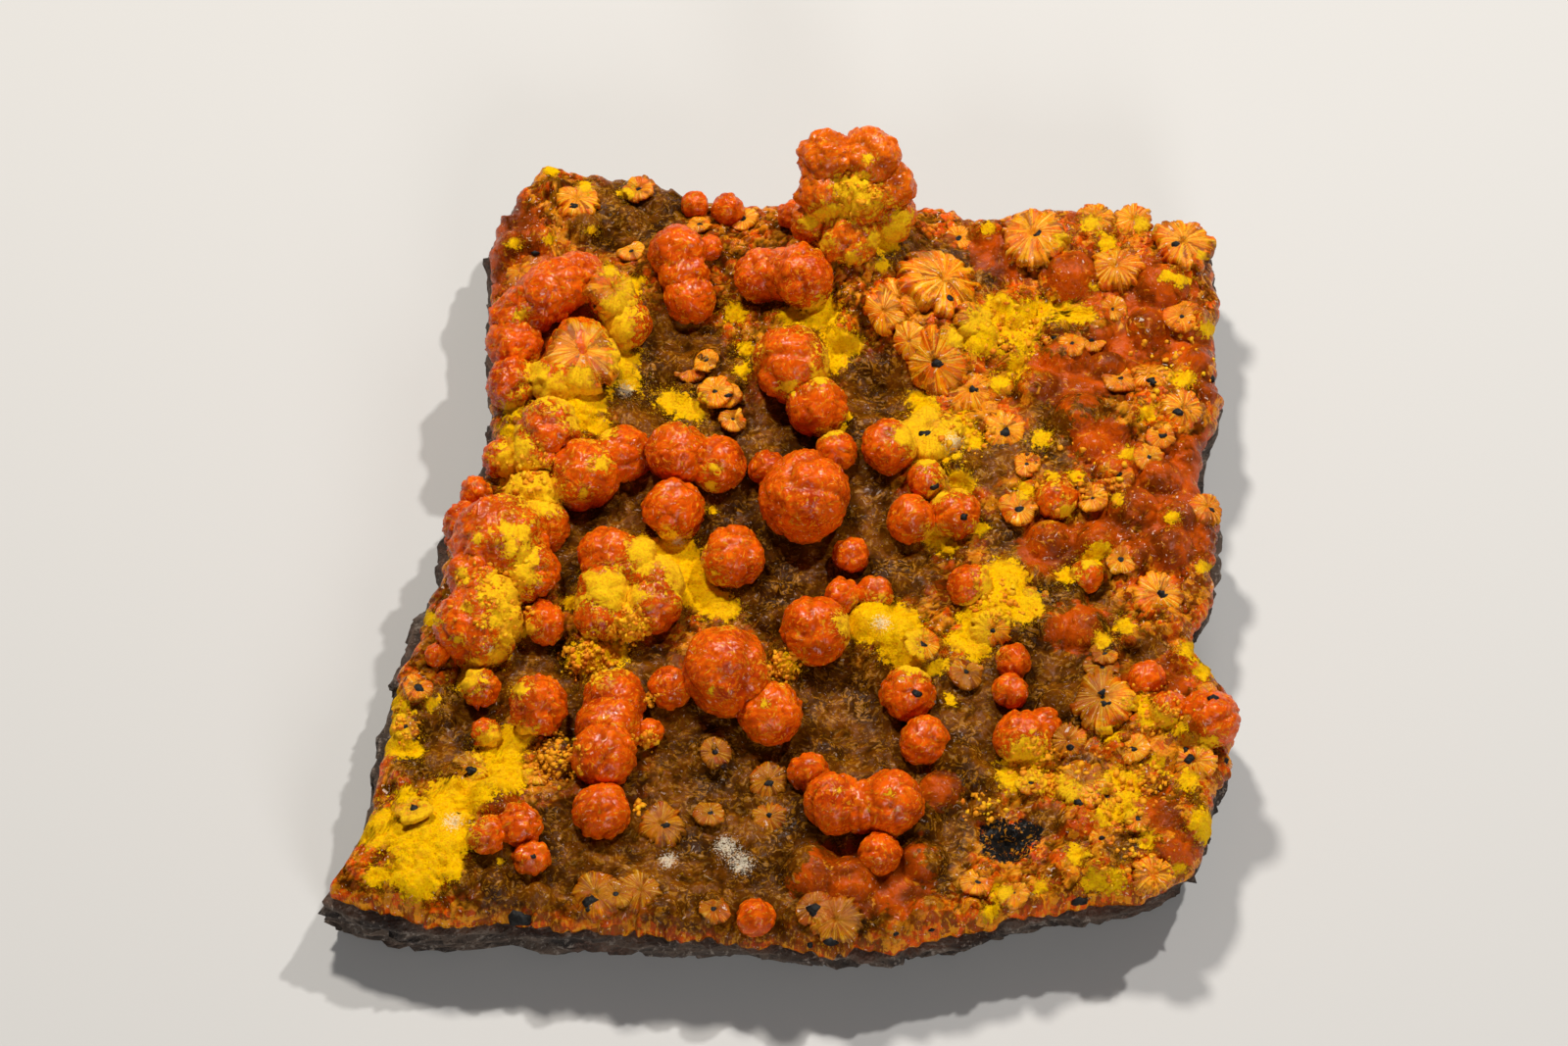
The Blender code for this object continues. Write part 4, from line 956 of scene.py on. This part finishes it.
def crystal_colour(nodes, look):
    """The crystals themselves: orange balls, golden blades, or mixed plates."""
    colour = nodes.layers(DEEP_ORANGE, (ORANGE, look.cloud, 0.30, 0.50))
    if look.ball:
        colour = nodes.layers(colour, (LIGHT_ORANGE, look.blade_tone, 0.55, 0.95, 0.0, 0.6))
        colour = nodes.mix(nodes.field("gold"), colour, LIGHT_ORANGE)
        return nodes.layers(
            colour,
            (DEEP_ORANGE, look.blade_tone, 0.0, 0.30, 0.45, 0.0),
            (DEEP_ORANGE, look.tone, 0.2, 1.0, 0.2, 0.0),
            (GOLD, look.strokes, 0.57, 0.63, 0.0, 0.8),
        )
    colour = nodes.layers(
        colour,
        (AMBER_BROWN, look.tone, 0.25, 0.40, 0.85, 0.0),
        (GOLD, look.tone, 0.55, 0.75, 0.0, 0.7),
        (AMBER_BROWN, look.speckle, 0.50, 0.62, 0.0, 0.7),
        (GOLD, look.strokes, 0.50, 0.64, 0.0, 0.85),
        (DEEP_ORANGE, look.strokes, 0.36, 0.46, 0.7, 0.0),
    )
    if look.rosette:
        golden = nodes.layers(
            BLADE_ORANGE,
            (BLADE_GOLD, look.strokes, 0.43, 0.56),
            (PALE_GOLD, look.strokes, 0.57, 0.64),
        )
        colour = nodes.layers(colour, (golden, nodes.field("gold"), 0.15, 0.75, 0.1, 0.9))
    return colour


def ground_colour(nodes, look, colour):
    """The silky brown ground with painted sheen lines and the smooth russet ground over a colour, and how
    brown it is.
    """
    brown = nodes.broken(nodes.field("brown"), nodes.noise(nodes.place, 1.1, 5.0, 0.65), 0.9, 0.35, 0.80)
    russet = nodes.broken(nodes.field("russet"), nodes.noise(nodes.place, 1.4, 5.0, 0.65), 1.7, 0.48, 0.62)
    if look.rosette:
        brown, russet = nodes.times(brown, 0.6), nodes.times(russet, 0.3)
    silky = nodes.layers(
        DARK_BROWN,
        (AMBER_BROWN, look.cloud, 0.35, 0.62),
        (SILKY_BROWN, look.strokes, 0.50, 0.60, 0.0, 0.75),
        # Painted sheen: thin pale gold lines on the silky ground
        (PAINTED_SHEEN_GOLD, look.strokes, 0.62, 0.68, 0.0, 0.5),
    )
    even = nodes.layers(
        DARK_RUSSET,
        (LIGHT_RUSSET, look.cloud, 0.34, 0.62),
        (GOLD, look.strokes, 0.58, 0.68, 0.0, 0.6),
    )
    return nodes.mix(russet, nodes.mix(brown, colour, silky), even), brown


def powder_cover(nodes, look):
    """How far yellow powder covers a place."""
    field, dust, speckle = nodes.field("powder"), look.dust, look.speckle
    powder = nodes.broken(field, speckle, 2.6, 0.70 if look.ball else 0.68, 0.80)
    covers = [
        nodes.times(nodes.step(field, 0.10, 0.6), nodes.step(dust, 0.58, 0.64)),
        nodes.step(field, 0.70, 0.94, 0.0, 0.92),
        nodes.step(speckle, 0.67, 0.71, 0.0, 0.2 if look.ball else 0.85),
    ]
    if look.ball:
        on_blades = nodes.times(nodes.step(field, 0.12, 0.5), nodes.step(look.blade_tone, 0.66, 0.70))
        covers.append(nodes.times(on_blades, nodes.step(speckle, 0.42, 0.50)))
    for cover in covers:
        powder = nodes.math("MAXIMUM", powder, cover)
    return powder


def francevillite_material(name, kind):
    """kind is ball, sheet or rosette."""
    nodes = Nodes(name)
    look = Crystals(nodes, kind)
    ball, dust, strokes = look.ball, look.dust, look.strokes
    colour = crystal_colour(nodes, look)
    if not ball:
        colour, brown = ground_colour(nodes, look, colour)
    # Painted shade: pit darkens grooves, hollows, rosette undersides and the ground round the balls' feet
    pit = nodes.field("pit")
    strength, groove_shade = (0.6, BALL_GROOVE_SHADE) if ball else (0.85, GROUND_GROOVE_SHADE)
    colour = nodes.mix(nodes.times(pit, strength), colour, groove_shade)
    # Painted highlights: pale glint streaks on the crystals, fainter on the brown ground
    flashes = nodes.streaks(look.turned, (6.0, 6.0, 2.2), 2.0, 0.5)
    glints = nodes.step(flashes, 0.68, 0.71, 0.0, 0.3 if ball else 0.6)
    if kind == "sheet":
        glints = nodes.times(glints, nodes.step(brown, 0.0, 1.0, 1.0, 0.35))
    powder = powder_cover(nodes, look)
    yellow = nodes.layers(OCHRE, (YELLOW, dust, 0.30, 0.54), (OCHRE, strokes, 0.52, 0.70, 0.0, 0.6))
    pale = nodes.times(nodes.broken(nodes.field("pale"), dust, 2.6, 0.66, 1.0), 0.65)
    black = nodes.broken(nodes.field("black"), look.speckle, 2.2, 0.56, 0.64)
    black = nodes.times(black, nodes.step(strokes, 0.56, 0.62, 1.0, 0.2))
    for cover, over in ((glints, GLINT), (powder, yellow), (pale, CREAM), (black, BLACK)):
        colour = nodes.mix(cover, colour, over)
    grit = nodes.math("ADD", nodes.times(dust, 0.7), look.speckle)
    grit = nodes.times(grit, nodes.step(powder, 0.0, 1.0, 0.12 if ball else 0.25, 1.0))
    height = nodes.math("ADD", nodes.times(strokes, 0.45 if ball else 0.9), grit)
    depth, tilt = (0.045, 0.40) if ball else (0.07, 0.5)
    return nodes.shade({
        "Base Color": colour,
        "Roughness": nodes.blend(powder, nodes.step(look.blade_tone, 0.0, 1.0, 0.22, 0.14), 0.95),
        "Normal": nodes.bump(height, depth, look.facets, tilt),
        "Specular IOR Level": nodes.step(pit, 0.1, 0.7, 0.10, 0.01) if kind == "sheet" else 0.22,
        "Subsurface Weight": 0.12,
        "Subsurface Radius": (1.0, 0.32, 0.08),
        "Subsurface Scale": 0.4 * MM,
    })


def sugar_material():
    nodes = Nodes("sugary grains")
    tint, dust = nodes.field("tint"), nodes.noise(nodes.place, 8.0, 3.0, 0.6)
    return nodes.shade({
        "Base Color": nodes.layers(
            SUGAR_ORANGE,
            (SUGAR_GOLD, tint, 0.0, 0.3),
            (YELLOW, tint, 0.75, 0.9),
            (OCHRE, dust, 0.45, 0.60, 0.0, 0.5),
        ),
        "Normal": nodes.bump(dust, 0.05, nodes.cells(nodes.place, 7.0), 0.4),
        "Roughness": 0.6,
        "Specular IOR Level": 0.25,
    })


def rock_material():
    nodes = Nodes("dark layered rock")
    layers = nodes.streaks(nodes.place, (0.5, 0.5, 2.6), 4.0, 0.6)
    speckle = nodes.noise(nodes.place, 3.4, 4.0, 0.65)
    colour = nodes.layers(
        DARK_ROCK,
        (BROWN_ROCK, layers, 0.35, 0.65),
        (PALE_ROCK, speckle, 0.54, 0.66),
    )
    rust = nodes.times(nodes.step(nodes.field("rusty"), 0.6, 1.0), nodes.step(speckle, 0.35, 0.6))
    height = nodes.math("ADD", nodes.times(layers, 1.2), nodes.noise(nodes.place, 6.0, 4.0, 0.7))
    return nodes.shade({
        "Base Color": nodes.mix(nodes.times(rust, 0.6), colour, RUST),
        "Normal": nodes.bump(height, 0.26, nodes.cells(nodes.place, 4.0), 0.7),
        "Roughness": 0.6,
    })


def black_material():
    nodes = Nodes("black grains")
    height = nodes.noise(nodes.place, 9.0, 3.0, 0.6)
    return nodes.shade({
        "Base Color": (*BLACK, 1.0),
        "Normal": nodes.bump(height, 0.05, nodes.cells(nodes.place, 9.0), 0.5),
        "Roughness": 0.45,
        "Specular IOR Level": 0.2,
    })


# The specimen

def make_piece(shell, name, material, node="francevillite_crust"):
    """A shell's piece, declared to the frame."""
    piece = shell.build(name, material)
    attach(piece, "root")
    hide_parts(node)


def ball_group(index):
    if index >= FIRST_TOWER_BALL:
        return "tall_cluster"
    x = BALL_TABLE[index, 0]
    return "balls_left" if x < LEFT_BALLS else "balls_middle" if x < RIGHT_BALLS else "balls_right"


def make_specimen():
    """Every piece. Grains come last, where sight lines first meet the rest of the crust."""
    crust = {name: Shell() for name in (
        "crust_left", "crust_right", "balls_left", "balls_middle", "balls_right", "tall_cluster", "rosettes",
        "small_rosettes",
    )}
    add_sheet(crust["crust_left"], crust["crust_right"])
    for index in range(len(BALL_TABLE)):
        add_ball(crust[ball_group(index)], index)
    add_rosettes(crust["rosettes"])
    add_fans(crust["rosettes"])
    add_flowers(crust["small_rosettes"])
    plain = francevillite_material("bladed crust", "sheet")
    round_look = francevillite_material("orange balls", "ball")
    bladed = francevillite_material("golden rosettes", "rosette")
    looks = {"crust": plain, "balls": round_look, "tall": round_look, "rosettes": bladed, "small": bladed}
    for name, shell in crust.items():
        make_piece(shell, name, looks[name.split("_")[0]])
    tree = surface_tree(crust.values())
    sugar, black, rock = Shell(), Shell(), Shell()
    add_sugar(sugar, tree)
    add_grains(black, tree)
    add_rock(rock)
    make_piece(sugar, "sugary_grains", sugar_material())
    make_piece(black, "black_grains", black_material())
    make_piece(rock, "rock_slab", rock_material(), "rock_matrix")


# Floor, light and camera

def aimed(target, location):
    """The rotation that turns -Z from location to target."""
    return (Vector(target) - Vector(location)).to_track_quat("-Z", "Y").to_euler()


def add_light(name, location, size, power, colour):
    """A round lamp aimed at the specimen."""
    light = bpy.data.lights.new(name, "AREA")
    light.shape = "DISK"
    light.size, light.energy, light.color = size, power, colour
    lamp = bpy.data.objects.new(name, light)
    lamp.location = location
    lamp.rotation_euler = aimed(LIT_POINT, location)
    bpy.context.scene.collection.objects.link(lamp)


def make_floor():
    mesh = bpy.data.meshes.new("floor")
    mesh.from_pydata([(-2, -2, 0), (2, -2, 0), (2, 2, 0), (-2, 2, 0)], [], [(0, 1, 2, 3)])
    look = {"Base Color": (0.62, 0.608, 0.59, 1.0), "Roughness": 0.8}
    mesh.materials.append(Nodes("pale floor").shade(look))
    floor = bpy.data.objects.new("floor", mesh)
    floor.location.z = -0.00002
    bpy.context.scene.collection.objects.link(floor)


def make_light():
    world = bpy.data.worlds.new("studio")
    world.use_nodes = True
    background = world.node_tree.nodes["Background"]
    background.inputs["Color"].default_value = (0.92, 0.90, 0.88, 1.0)
    background.inputs["Strength"].default_value = 0.09
    bpy.context.scene.world = world
    add_light("key", (-0.06, 0.12, 0.22), 0.030, 0.48, (1.0, 0.96, 0.90))
    add_light("spark", (0.10, 0.10, 0.20), 0.010, 0.30, (1.0, 0.98, 0.95))
    add_light("front", (0.06, -0.22, 0.11), 0.08, 0.20, (0.97, 0.98, 1.0))


def make_camera():
    data = bpy.data.cameras.new("camera")
    data.lens, data.sensor_width, data.clip_start = 135, 36, 0.001
    camera = bpy.data.objects.new("camera", data)
    camera.location = (0.0, -0.138045, 0.226858)
    camera.rotation_euler = aimed(VIEWED_POINT, camera.location)
    bpy.context.scene.collection.objects.link(camera)
    bpy.context.scene.camera = camera


make_specimen()
make_floor()
make_light()
make_camera()
bpy.context.scene.view_settings.view_transform = "Standard"
